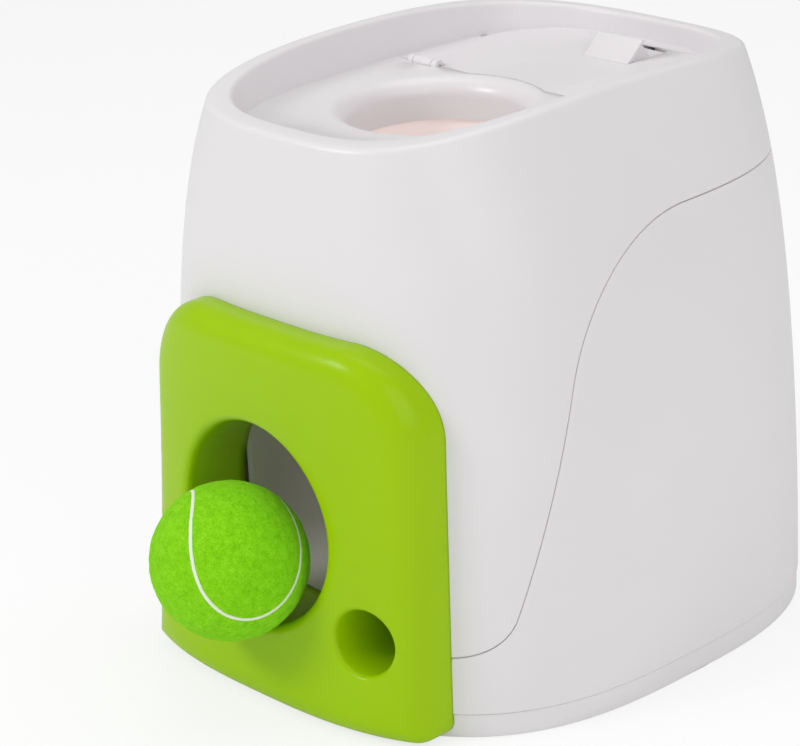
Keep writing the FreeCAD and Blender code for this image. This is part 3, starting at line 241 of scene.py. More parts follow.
class Mesh:
    """Makes Blender meshes from arrays."""

    @staticmethod
    def grid(name: str, points: Array, closing: Closing) -> bpy.types.Object:
        """Make a surface from a grid of points.

        Args:
            name: The object's name.
            points: Rows by columns by three.
            closing: Whether only the columns close up, or the rows too.

        Returns:
            The new object, smooth shaded, with faces outwards.
        """
        rows, cols = points.shape[:2]
        row = np.arange(rows if closing is Closing.BOTH else rows - 1)
        col = np.arange(cols)
        r, c = np.meshgrid(row, col, indexing="ij")
        r2, c2 = (r + 1) % rows, (c + 1) % cols
        quads = np.stack([r * cols + c, r * cols + c2, r2 * cols + c2, r2 * cols + c], -1).reshape(-1, 4)
        return Mesh.make(name, points.reshape(-1, 3), quads)

    @staticmethod
    def make(name: str, points: Array, *faces: Array) -> bpy.types.Object:
        """Make an object from points and one or more arrays of equal-sided faces.

        Args:
            name: The object's name.
            points: Vertices by three.
            faces: Index arrays, each faces by corners.

        Returns:
            The new object, smooth shaded, with faces outwards.
        """
        mesh = bpy.data.meshes.new(name)
        mesh.vertices.add(len(points))
        mesh.vertices.foreach_set("co", points.astype(np.float32).ravel())
        loops = np.concatenate([part.ravel() for part in faces])
        counts = np.concatenate([np.full(len(part), part.shape[1]) for part in faces])
        mesh.loops.add(len(loops))
        mesh.loops.foreach_set("vertex_index", loops.astype(np.int32))
        mesh.polygons.add(len(counts))
        starts = np.concatenate([[0], np.cumsum(counts)[:-1]])
        mesh.polygons.foreach_set("loop_start", starts.astype(np.int32))
        mesh.update(calc_edges=True)
        mesh.validate()
        thing = bpy.data.objects.new(name, mesh)
        bpy.context.collection.objects.link(thing)
        Mesh.face_out(thing)
        mesh.shade_smooth()
        return thing

    @staticmethod
    def face_out(thing: bpy.types.Object) -> None:
        """Turn a closed mesh outwards if its signed volume is negative.

        Args:
            thing: The object whose mesh is tested.
        """
        mesh = thing.data
        mesh.calc_loop_triangles()
        co = np.empty(len(mesh.vertices) * 3, np.float32)
        mesh.vertices.foreach_get("co", co)
        tri = np.empty(len(mesh.loop_triangles) * 3, np.int32)
        mesh.loop_triangles.foreach_get("vertices", tri)
        a, b, c = np.moveaxis(co.reshape(-1, 3)[tri.reshape(-1, 3)], 1, 0)
        if float(np.einsum("ij,ij->i", a, np.cross(b, c)).sum()) < 0:
            mesh.flip_normals()

    @staticmethod
    def joined(name: str, parts: Sequence[bpy.types.Object], merge: float = 1e-6) -> bpy.types.Object:
        """Join several objects into one and merge the points that coincide.

        Args:
            name: The joined object's name.
            parts: Objects to join; they are removed.
            merge: Distance under which points are merged.

        Returns:
            The joined object.
        """
        whole = bmesh.new()
        for part in parts:
            whole.from_mesh(part.data)
            bpy.data.objects.remove(part)
        bmesh.ops.remove_doubles(whole, verts=whole.verts, dist=merge)
        bmesh.ops.recalc_face_normals(whole, faces=whole.faces)
        mesh = bpy.data.meshes.new(name)
        whole.to_mesh(mesh)
        whole.free()
        thing = bpy.data.objects.new(name, mesh)
        bpy.context.collection.objects.link(thing)
        mesh.shade_smooth()
        return thing

    @staticmethod
    def copied(node: str, name: str, angle: float = 32.0) -> bpy.types.Object:
        """Copy a CAD node's mesh, merge it and shade it smooth up to an angle.

        Args:
            node: The CAD node.
            name: The copy's name.
            angle: Edges sharper than this many degrees stay sharp.

        Returns:
            The new object.
        """
        whole = bmesh.new()
        whole.from_mesh(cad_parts[node].data)
        bmesh.ops.remove_doubles(whole, verts=whole.verts, dist=1e-5)
        mesh = bpy.data.meshes.new(name)
        whole.to_mesh(mesh)
        whole.free()
        mesh.materials.clear()
        mesh.shade_smooth()
        mesh.set_sharp_from_angle(angle=math.radians(angle))
        thing = bpy.data.objects.new(name, mesh)
        bpy.context.collection.objects.link(thing)
        return thing

    @staticmethod
    def holed(thing: bpy.types.Object, tools: Sequence[bpy.types.Object]) -> None:
        """Cut tool objects out of an object and remove the tools.

        Args:
            thing: The object to cut.
            tools: Closed objects to take away.
        """
        for tool in tools:
            cut = thing.modifiers.new("hole", "BOOLEAN")
            cut.operation = "DIFFERENCE"
            cut.solver = "EXACT"
            cut.object = tool
        graph = bpy.context.evaluated_depsgraph_get()
        mesh = bpy.data.meshes.new_from_object(thing.evaluated_get(graph))
        thing.modifiers.clear()
        thing.data = mesh
        mesh.shade_smooth()
        mesh.set_sharp_from_angle(angle=math.radians(40))
        for tool in tools:
            bpy.data.objects.remove(tool)


def filled(outline: Array, holes: Sequence[Array], spacing: float) -> tuple[Array, Array]:
    """Triangulate a flat region with holes and evenly spread inner points.

    Args:
        outline: Closed outline, points by two.
        holes: Closed outlines of the holes.
        spacing: Distance between the inner points.

    Returns:
        Points by two, which start with the outlines' own points, and triangles.
    """
    loops = [outline, *holes]
    low, high = outline.min(0), outline.max(0)
    x, y = np.meshgrid(np.arange(low[0], high[0], spacing), np.arange(low[1], high[1], spacing))
    inner = np.stack([x.ravel(), y.ravel()], -1)
    keep = inside(inner, outline) & (nearest(inner, outline) > spacing * 0.6)
    for hole in holes:
        keep &= ~inside(inner, hole) & (nearest(inner, hole) > spacing * 0.6)
    points = np.concatenate([*loops, inner[keep]])
    edges, start = [], 0
    for loop in loops:
        index = np.arange(len(loop))
        edges += np.stack([start + index, start + (index + 1) % len(loop)], -1).tolist()
        start += len(loop)
    made = delaunay_2d_cdt([Vector(p) for p in points.tolist()], edges, [], 0, 1e-9)
    flat = np.array([list(v) for v in made[0]])
    faces = np.array(made[2])
    middle = flat[faces].mean(1)
    keep_face = inside(middle, outline)
    for hole in holes:
        keep_face &= ~inside(middle, hole)
    return flat, faces[keep_face]


def inside(points: Array, loop: Array) -> Array:
    """Tell which points lie inside a closed outline, by counting crossings.

    Args:
        points: Points by two.
        loop: The outline's points by two.

    Returns:
        True for each point inside.
    """
    a, b = loop, np.roll(loop, -1, 0)
    px, py = points[:, :1], points[:, 1:]
    spans = (a[:, 1] > py) != (b[:, 1] > py)
    rise = b[:, 1] - a[:, 1]
    cross = a[:, 0] + (py - a[:, 1]) * (b[:, 0] - a[:, 0]) / np.where(rise == 0, 1e-12, rise)
    return ((spans & (px < cross)).sum(1) % 2) == 1


def nearest(points: Array, loop: Array) -> Array:
    """Return each point's distance to the nearest point of an outline."""
    return np.sqrt(((points[:, None] - loop[None]) ** 2).sum(-1)).min(1)


def to_line(points: Array, loop: Array) -> Array:
    """Return each point's distance to the nearest stretch of a closed outline.

    Args:
        points: Points by two.
        loop: The outline's points by two.

    Returns:
        The distances.
    """
    span = np.roll(loop, -1, 0) - loop
    away = points[:, None] - loop[None]
    share = np.clip((away * span).sum(-1) / np.maximum((span ** 2).sum(-1), 1e-16), 0.0, 1.0)
    return np.linalg.norm(away - share[..., None] * span, axis=-1).min(1)


def circle(x: float, y: float, radius: float, count: int) -> Array:
    """Return a circle's points by two."""
    angle = np.linspace(0, TAU, count, endpoint=False)
    return np.stack([x + radius * np.cos(angle), y + radius * np.sin(angle)], -1)


class Sock:
    """A node socket that takes part in Python arithmetic."""

    def __init__(self, tree: "Shader", socket: bpy.types.NodeSocket) -> None:
        """Keep the tree and the socket."""
        self.tree = tree
        self.socket = socket

    def _do(self, operation: str, left: Any, right: Any = 0.0) -> "Sock":
        """Add a Math node for an operation on two values or sockets."""
        return self.tree.add("ShaderNodeMath", {"operation": operation}, {0: left, 1: right})

    def __add__(self, other: Any) -> "Sock":
        """Add."""
        return self._do("ADD", self, other)

    __radd__ = __add__

    def __mul__(self, other: Any) -> "Sock":
        """Multiply."""
        return self._do("MULTIPLY", self, other)

    __rmul__ = __mul__

    def __sub__(self, other: Any) -> "Sock":
        """Subtract."""
        return self._do("SUBTRACT", self, other)

    def __rsub__(self, other: Any) -> "Sock":
        """Subtract from a number."""
        return self._do("SUBTRACT", other, self)

    def __truediv__(self, other: Any) -> "Sock":
        """Divide."""
        return self._do("DIVIDE", self, other)

    def __abs__(self) -> "Sock":
        """Take the size."""
        return self._do("ABSOLUTE", self)

    def __pow__(self, other: Any) -> "Sock":
        """Raise to a power."""
        return self._do("POWER", self, other)

    def clamp(self) -> "Sock":
        """Hold between 0 and 1."""
        return self.tree.add("ShaderNodeClamp", {}, {"Value": self})

    def step(self, low: float, high: float) -> "Sock":
        """Rise smoothly from 0 to 1 between two values."""
        return self.tree.add("ShaderNodeMapRange", {"interpolation_type": "SMOOTHSTEP"},
                             {"Value": self, "From Min": low, "From Max": high})


class Shader:
    """Builds one material's node tree."""

    def __init__(self, name: str) -> None:
        """Make an empty material with a Principled shader."""
        self.material = bpy.data.materials.new(name)
        self.material.use_nodes = True
        self.nodes = self.material.node_tree.nodes
        self.links = self.material.node_tree.links
        self.shader = self.nodes["Principled BSDF"]

    def add(self, kind: str, settings: dict[str, Any], inputs: dict[Any, Any], output: Any = 0) -> Sock:
        """Add a node.

        Args:
            kind: The node's type.
            settings: Properties, set first; "stops" holds a ramp's stops.
            inputs: Values or sockets by input name or index.
            output: Which output to return.

        Returns:
            The chosen output.
        """
        node = self.nodes.new(kind)
        for key, value in settings.items():
            if key == "stops":
                self._stops(node, value)
            else:
                setattr(node, key, value)
        for key, value in inputs.items():
            if isinstance(value, Sock):
                self.links.new(value.socket, node.inputs[key])
            else:
                node.inputs[key].default_value = value
        return Sock(self, node.outputs[output])

    @staticmethod
    def _stops(node: bpy.types.Node, stops: Sequence[tuple[float, tuple[float, ...]]]) -> None:
        """Set a colour ramp's stops.

        Args:
            node: The ramp's node.
            stops: Places from 0 to 1 with their colours.
        """
        ramp = node.color_ramp
        while len(ramp.elements) < len(stops):
            ramp.elements.new(0.5)
        for element, (place, colour) in zip(ramp.elements, stops):
            element.position = place
            element.color = colour

    def where(self) -> Sock:
        """Return Object coordinates."""
        return self.add("ShaderNodeTexCoord", {}, {}, "Object")

    def noise(self, scale: float, detail: float = 2.0, rough: float = 0.5, at: Sock | None = None) -> Sock:
        """Return a noise's value.

        Args:
            scale: Features per metre.
            detail: Octaves.
            rough: Roughness of the octaves.
            at: Where it is read; Object coordinates if left out.

        Returns:
            The noise, from 0 to 1.
        """
        return self.add("ShaderNodeTexNoise", {}, {"Vector": at or self.where(), "Scale": scale,
                                                  "Detail": detail, "Roughness": rough}, "Fac")

    def mix(self, share: Any, one: Any, two: Any) -> Sock:
        """Mix two colours.

        Args:
            share: How much of the second colour, from 0 to 1.
            one: The first colour.
            two: The second colour.

        Returns:
            The mixed colour.
        """
        node = self.nodes.new("ShaderNodeMix")
        node.data_type = "RGBA"
        for index, value in ((0, share), (6, one), (7, two)):
            if isinstance(value, Sock):
                self.links.new(value.socket, node.inputs[index])
            else:
                node.inputs[index].default_value = value
        return Sock(self, node.outputs[2])

    def bump(self, height: Sock, distance: float, strength: float = 1.0) -> Sock:
        """Return a normal bent by a height.

        Args:
            height: The height, from 0 to 1.
            distance: The height's full depth in metres.
            strength: Share of the effect.

        Returns:
            The normal.
        """
        return self.add("ShaderNodeBump", {}, {"Strength": strength, "Distance": distance, "Height": height})

    def set(self, **inputs: Any) -> "Shader":
        """Set or link the Principled shader's sockets; an underscore stands for a space."""
        for key, value in inputs.items():
            socket = self.shader.inputs[key.replace("_", " ")]
            if isinstance(value, Sock):
                self.links.new(value.socket, socket)
            else:
                socket.default_value = value
        return self


def rgb(red: float, green: float, blue: float) -> tuple[float, float, float, float]:
    """Return a linear colour from sRGB values of 0 to 255."""
    def linear(value: float) -> float:
        """Return one channel's linear value."""
        share = value / 255
        return share / 12.92 if share <= 0.04045 else ((share + 0.055) / 1.055) ** 2.4

    return linear(red), linear(green), linear(blue), 1.0


@dataclass(frozen=True)
class MouldedPlastic:
    """Satin or glossy moulded plastic with faint mottling, fine grain, handling marks and, where asked, a
    painted glow.
    """

    name: str
    colour: tuple[float, float, float, float]
    shade: tuple[float, float, float, float]
    roughness: float = 0.35
    spread: float = 0.05
    grain: float = 0.00001
    grain_scale: float = 3000.0
    coat: float = 0.0
    coat_roughness: float = 0.1
    specular: float = 0.5
    # Painted glow: an even emission in the plastic's own colour that stands in for light shining through a
    # thin shell; the part is no lamp.
    glow: float = 0.0

    def build(self) -> bpy.types.Material:
        """Build the material.

        Returns:
            The finished material.
        """
        s = Shader(self.name)
        cloud = s.noise(14.0, 3.0)
        fine = s.noise(self.grain_scale, 2.0, 0.6)
        scuff = s.noise(260.0, 6.0, 0.7).step(0.60, 0.78)
        colour = s.mix(cloud.step(0.3, 0.75) * 0.55, self.colour, self.shade)
        rough = self.roughness + (cloud - 0.5) * self.spread + scuff * self.spread
        s.set(Base_Color=colour, Roughness=rough.clamp(), Coat_Weight=self.coat,
              Coat_Roughness=self.coat_roughness, Specular_IOR_Level=self.specular,
              Normal=s.bump(fine, self.grain, 0.6))
        # Painted glow, standing in for light let through the thin plastic.
        if self.glow:
            s.set(Emission_Color=self.colour, Emission_Strength=self.glow)
        return s.material


@dataclass(frozen=True)
class Felt:
    """Bright woven felt: loose fibres in clumps, darker where the fibres sink and lighter on the raised ones,
    partly their own uneven tone and partly painted shade and a painted highlight.
    """

    name: str = "ball_felt"
    colour: tuple[float, float, float, float] = rgb(138, 222, 14)
    # Darker fibre colour for the low places: partly the fibres' own tone, partly painted shade.
    deep: tuple[float, float, float, float] = rgb(98, 184, 4)
    # Lighter fibre colour for the raised places: partly the fibres' own tone, partly a painted highlight; it
    # also tints the sheen.
    light: tuple[float, float, float, float] = rgb(182, 242, 72)

    def build(self) -> bpy.types.Material:
        """Build the material.

        Returns:
            The finished material.
        """
        s = Shader(self.name)
        place = s.where()
        warp = s.add("ShaderNodeTexNoise", {}, {"Vector": place, "Scale": 420.0, "Detail": 3.0}, "Color")
        moved = s.add("ShaderNodeVectorMath", {"operation": "MULTIPLY_ADD"},
                      {0: warp, 1: (0.002, 0.002, 0.002), 2: place})
        fibre = s.noise(1500.0, 5.0, 0.72, moved)
        clump = s.noise(340.0, 3.0, 0.6, moved)
        fuzz = s.noise(3800.0, 3.0, 0.8, moved)
        height = fibre * 0.55 + clump * 0.3 + fuzz * 0.25
        # Colour follows the bump's height: painted shade where the fibres sink and a painted highlight on the
        # raised ones, over the fibres' own uneven tone.
        colour = s.mix(height.step(0.38, 0.58), self.deep, self.colour)
        colour = s.mix(height.step(0.55, 0.74) * 0.8, colour, self.light)
        s.set(Base_Color=colour, Roughness=0.95, Normal=s.bump(height, 0.0009, 0.9))
        s.set(Sheen_Weight=0.35, Sheen_Roughness=0.5, Sheen_Tint=self.light, Specular_IOR_Level=0.15)
        return s.material


@dataclass(frozen=True)
class Metal:
    """Plated or turned metal with a fine brushed grain."""

    name: str
    colour: tuple[float, float, float, float]
    roughness: float = 0.32

    def build(self) -> bpy.types.Material:
        """Build the material.

        Returns:
            The finished material.
        """
        s = Shader(self.name)
        grain = s.noise(2200.0, 3.0, 0.6)
        tarnish = s.noise(120.0, 3.0).step(0.4, 0.8)
        dark = tuple(channel * 0.7 for channel in self.colour[:3]) + (1.0,)
        s.set(Base_Color=s.mix(tarnish * 0.5, self.colour, dark), Metallic=1.0,
              Roughness=(self.roughness + tarnish * 0.15).clamp(), Normal=s.bump(grain, 0.00002, 0.4))
        return s.material


@dataclass(frozen=True)
class Rubber:
    """Black moulded rubber with a fine matt grain."""

    name: str = "foot_rubber"
    colour: tuple[float, float, float, float] = rgb(38, 38, 38)

    def build(self) -> bpy.types.Material:
        """Build the material.

        Returns:
            The finished material.
        """
        s = Shader(self.name)
        grain = s.noise(1800.0, 4.0, 0.6)
        s.set(Base_Color=s.mix(grain, self.colour, rgb(56, 56, 55)), Roughness=(0.7 + grain * 0.2).clamp(),
              Normal=s.bump(grain, 0.00006, 0.6))
        return s.material


@dataclass
class Finishes:
    """Every material of the object, built once."""

    shell: bpy.types.Material = field(init=False)
    tray: bpy.types.Material = field(init=False)
    panel: bpy.types.Material = field(init=False)
    inner: bpy.types.Material = field(init=False)
    tube: bpy.types.Material = field(init=False)
    mechanism: bpy.types.Material = field(init=False)
    steel: bpy.types.Material = field(init=False)
    brass: bpy.types.Material = field(init=False)
    rubber: bpy.types.Material = field(init=False)
    felt: bpy.types.Material = field(init=False)
    seam: bpy.types.Material = field(init=False)

    def __post_init__(self) -> None:
        """Build the materials."""
        white, warm = rgb(229, 226, 228), rgb(226, 222, 225)
        self.shell = MouldedPlastic("shell_plastic", white, warm, 0.36, 0.05).build()
        self.tray = MouldedPlastic("tray_plastic", white, warm, 0.30, 0.05).build()
        self.panel = MouldedPlastic("panel_plastic", rgb(158, 199, 0), rgb(153, 194, 0), 0.30, 0.04,
                                    0.000006, 3000.0, 0.06, 0.08, 0.14).build()
        # The tube's plastic glows with painted light, which brightens its shaded inside as if it were lit
        # through the thin shell.
        self.tube = MouldedPlastic("tube_plastic_painted_glow", rgb(234, 222, 219), rgb(230, 217, 214), 0.45, 0.06,
                                   glow=0.28).build()
        self.inner = MouldedPlastic("inner_plastic", rgb(206, 204, 200), rgb(198, 196, 192),
                                    0.5, 0.08).build()
        self.mechanism = MouldedPlastic("mechanism_plastic", rgb(150, 150, 152), rgb(140, 140, 142),
                                        0.45).build()
        self.steel = Metal("plated_steel", rgb(190, 192, 196)).build()
        self.brass = Metal("turned_brass", rgb(208, 170, 98)).build()
        self.rubber = Rubber().build()
        self.felt = Felt().build()
        self.seam = MouldedPlastic("seam_rubber", rgb(236, 240, 226), rgb(226, 232, 214), 0.7, 0.1,
                                   0.00005, 1600.0).build()


@dataclass
class Piece:
    """Dresses a finished object and hides the nodes it stands for."""

    thing: bpy.types.Object
    body: Body
    slot: str
    material: bpy.types.Material
    nodes: tuple[str, ...] = ()

    def place(self) -> bpy.types.Object:
        """Give the piece its material and body, and hide the nodes it stands for.

        Returns:
            The object.
        """
        self.thing.data.materials.clear()
        self.thing.data.materials.append(self.material)
        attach(self.thing, self.body.value)
        if self.nodes:
            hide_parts(*self.nodes)
        LOG.info("%s: %d faces, rides on %s", self.thing.name, len(self.thing.data.polygons), self.body.value)
        return self.thing


@dataclass
class Housing:
    """The two outer shells, with their seam and the rim round the tray."""

    finishes: Finishes
    form: BodyForm = BodyForm()
    seam: Seam = Seam()
    well: Well = Well()
    wall: float = 2.6 * MM
    base_top: float = 10.3 * MM
    base_inset: float = 0.5 * MM
    band_low: float = 0.15 * MM
    band_high: float = 10.1 * MM
    band_round: float = 0.3 * MM
    band_depth: float = 2.0 * MM
    columns: int = 384
    edge: float = 0.55 * MM
    crest: float = 2.2 * MM
    lip: float = 1.6 * MM
    cover: float = 2.62 * MM
    skirt: float = 2.4 * MM
    ledge: float = 8 * MM
    ledge_thickness: float = 2.2 * MM
    seat: float = 226.6 * MM
    roof: float = 3.0 * MM
    roof_drop: float = 2.0 * MM
    cut_sides: int = 96
    cut_reach: tuple[float, float] = (-160 * MM, -90 * MM)
    collar_holes: tuple[tuple[float, float, float], ...] = (
        (-2 * MM, 79 * MM, 46.2 * MM), (60.5 * MM, 43.6 * MM, 16.7 * MM))

    def build(self) -> None:
        """Build and dress both shells."""
        Piece(self.lower(), Body.HOUSING, "housing", self.finishes.shell, ("lower_housing",)).place()
        Piece(self.upper(), Body.HOUSING, "housing", self.finishes.shell, ("upper_housing",)).place()
        Piece(self.base_band(), Body.HOUSING, "housing", self.finishes.shell).place()

    def _angles(self) -> Array:
        """Return the columns' plan angles."""
        return np.linspace(0, TAU, self.columns, endpoint=False)

    def lower(self) -> bpy.types.Object:
        """Build the rear and lower side shell.

        Each column runs up the outside from the base to the seam, over a small round
        edge, down the inside and round the lower edge again.

        Returns:
            The shell.
        """
        angle = self._angles()
        seam_z, slope = self.seam.on(self.form, angle)
        top = seam_z - self.seam.gap / 2
        roll = self.edge * np.sqrt(1 + slope ** 2)
        bend = np.linspace(0, math.pi / 2, 5)
        rows: list[Array] = []
        low = self.base_top
        for t in bend[::-1]:
            rise = np.full_like(angle, low + self.edge * (1 - math.sin(t)))
            rows.append(self.form.at(angle, rise, self.edge * (1 - math.cos(t))))
        for w in np.linspace(0, 1, 60)[1:-1]:
            rows.append(self.form.at(angle, low + self.edge + (top - roll - low - self.edge) * w))
        for t in bend:
            rows.append(self.form.at(angle, top - roll * (1 - math.sin(t)), self.edge * (1 - math.cos(t))))
        rows.append(self.form.at(angle, top, self.wall))
        for w in np.linspace(1, 0, 24)[1:-1]:
            rows.append(self.form.at(angle, low + (top - low) * w, self.wall))
        rows.append(self.form.at(angle, np.full_like(angle, low), self.wall))
        thing = Mesh.grid("lower_shell", np.array(rows), Closing.BOTH)
        Mesh.holed(thing, self._collar_cuts())
        return thing

    def upper(self) -> bpy.types.Object:
        """Build the front and top shell.

        Each column runs up the outside from the seam to the rim, over the rounded crest,
        down the well's wall to the ledge that carries the tray, and back down the inside.

        Returns:
            The shell.
        """
        angle = self._angles()
        seam_z, slope = self.seam.on(self.form, angle)
        low = seam_z + self.seam.gap / 2
        roll = self.edge * np.sqrt(1 + slope ** 2)
        bend = np.linspace(0, math.pi / 2, 6)
        crest_z = self._crest(angle)
        rows: list[Array] = []
        for t in bend[::-1]:
            rows.append(self.form.at(angle, low + roll * (1 - math.sin(t)), self.edge * (1 - math.cos(t))))
        start = low + roll
        for w in np.linspace(0, 1, 80)[1:]:
            rows.append(self.form.at(angle, start + (crest_z - self.crest - start) * (1 - (1 - w) ** 1.5)))
        for t in bend[1:]:
            rows.append(self.form.at(angle, crest_z - self.crest * (1 - math.sin(t)),
                                     self.crest * (1 - math.cos(t))))
        rim = self._well_rim(angle)
        for t in bend[::-1]:
            rows.append(self.well.at(angle, rim - self.lip * (1 - math.sin(t)),
                                     self.lip * (1 - math.cos(t)) - self.cover))
        floor = np.full_like(angle, self.well.floor)
        for w in np.linspace(0, 1, 12)[1:]:
            rows.append(self.well.at(angle, rim - self.lip + (floor - rim + self.lip) * w, -self.cover))
        seat = np.full_like(angle, self.seat)
        rows.append(self.well.at(angle, floor - 0.4 * MM, -self.cover + 1.2 * MM))
        rows.append(self.well.at(angle, seat, 0.0))
        rows.append(self.well.at(angle, seat, -self.ledge))
        rows.append(self.well.at(angle, seat - self.ledge_thickness, -self.ledge))
        rows.append(self.well.at(angle, seat - self.ledge_thickness, self.skirt))
        rows.append(self.well.at(angle, rim - self.roof - self.roof_drop, self.skirt))
        under = crest_z - self.roof - self.roof_drop
        rows.append(self.form.at(angle, under, self.wall + 0.5 * MM))
        for w in np.linspace(1, 0, 30)[1:]:
            rows.append(self.form.at(angle, low + (under - low) * w, self.wall))
        thing = Mesh.grid("upper_shell", np.array(rows), Closing.BOTH)
        Mesh.holed(thing, self._collar_cuts())
        return thing

    def base_band(self) -> bpy.types.Object:
        """Build the smooth band round the base's side: a closed ring with small round edges.

        Returns:
            The band.
        """
        angle = self._angles()
        bend = np.linspace(0, math.pi / 2, 5)
        low, high, small = self.band_low, self.band_high, self.band_round
        turned = [(self.base_inset + small * (1 - math.cos(t)), small * (1 - math.sin(t))) for t in bend]
        side = [(inset, low + rise) for inset, rise in turned[::-1]]
        for w in np.linspace(0, 1, 6)[1:-1]:
            side.append((self.base_inset, low + small + (high - low - 2 * small) * w))
        side += [(inset, high - rise) for inset, rise in turned]
        side += [(self.band_depth, high), (self.band_depth, low)]
        rows = [self.form.at(angle, np.full_like(angle, z), inset) for inset, z in side]
        return Mesh.grid("base_band", np.array(rows), Closing.BOTH)

    def _crest(self, angle: Array) -> Array:
        """Work out the rim's height on the outer form by repeated substitution.

        Args:
            angle: Plan angles.

        Returns:
            A height at each angle.
        """
        z = np.full_like(angle, self.form.height)
        for _ in range(8):
            z = self.form.rim_z(self.form.at(angle, z)[..., 1])
        return z

    def _well_rim(self, angle: Array) -> Array:
        """Work out the rim's height on the well's wall by repeated substitution.

        Args:
            angle: Plan angles.

        Returns:
            A height at each angle.
        """
        z = np.full_like(angle, self.form.height)
        for _ in range(8):
            z = self.form.rim_z(self.well.at(angle, z)[..., 1])
        return z

    def _collar_cuts(self) -> list[bpy.types.Object]:
        """Make round bars that clear the panel's collars through the front.

        Returns:
            One closed bar for each outlet.
        """
        cuts = []
        n, (near, far) = self.cut_sides, self.cut_reach
        for index, (x, z, radius) in enumerate(self.collar_holes):
            rim = circle(x, z, radius, n)
            rows = [np.stack([rim[:, 0], np.full(n, y), rim[:, 1]], -1) for y in (near, far)]
            points = np.concatenate([*rows, [[x, near, z]], [[x, far, z]]])
            i = np.arange(n)
            j = (i + 1) % n
            sides = np.stack([i, j, j + n, i + n], -1)
            caps = np.concatenate([np.stack([j, i, np.full(n, 2 * n)], -1),
                                   np.stack([i + n, j + n, np.full(n, 2 * n + 1)], -1)])
            cuts.append(Mesh.make(f"collar_cut_{index}", points, sides, caps))
        return cuts


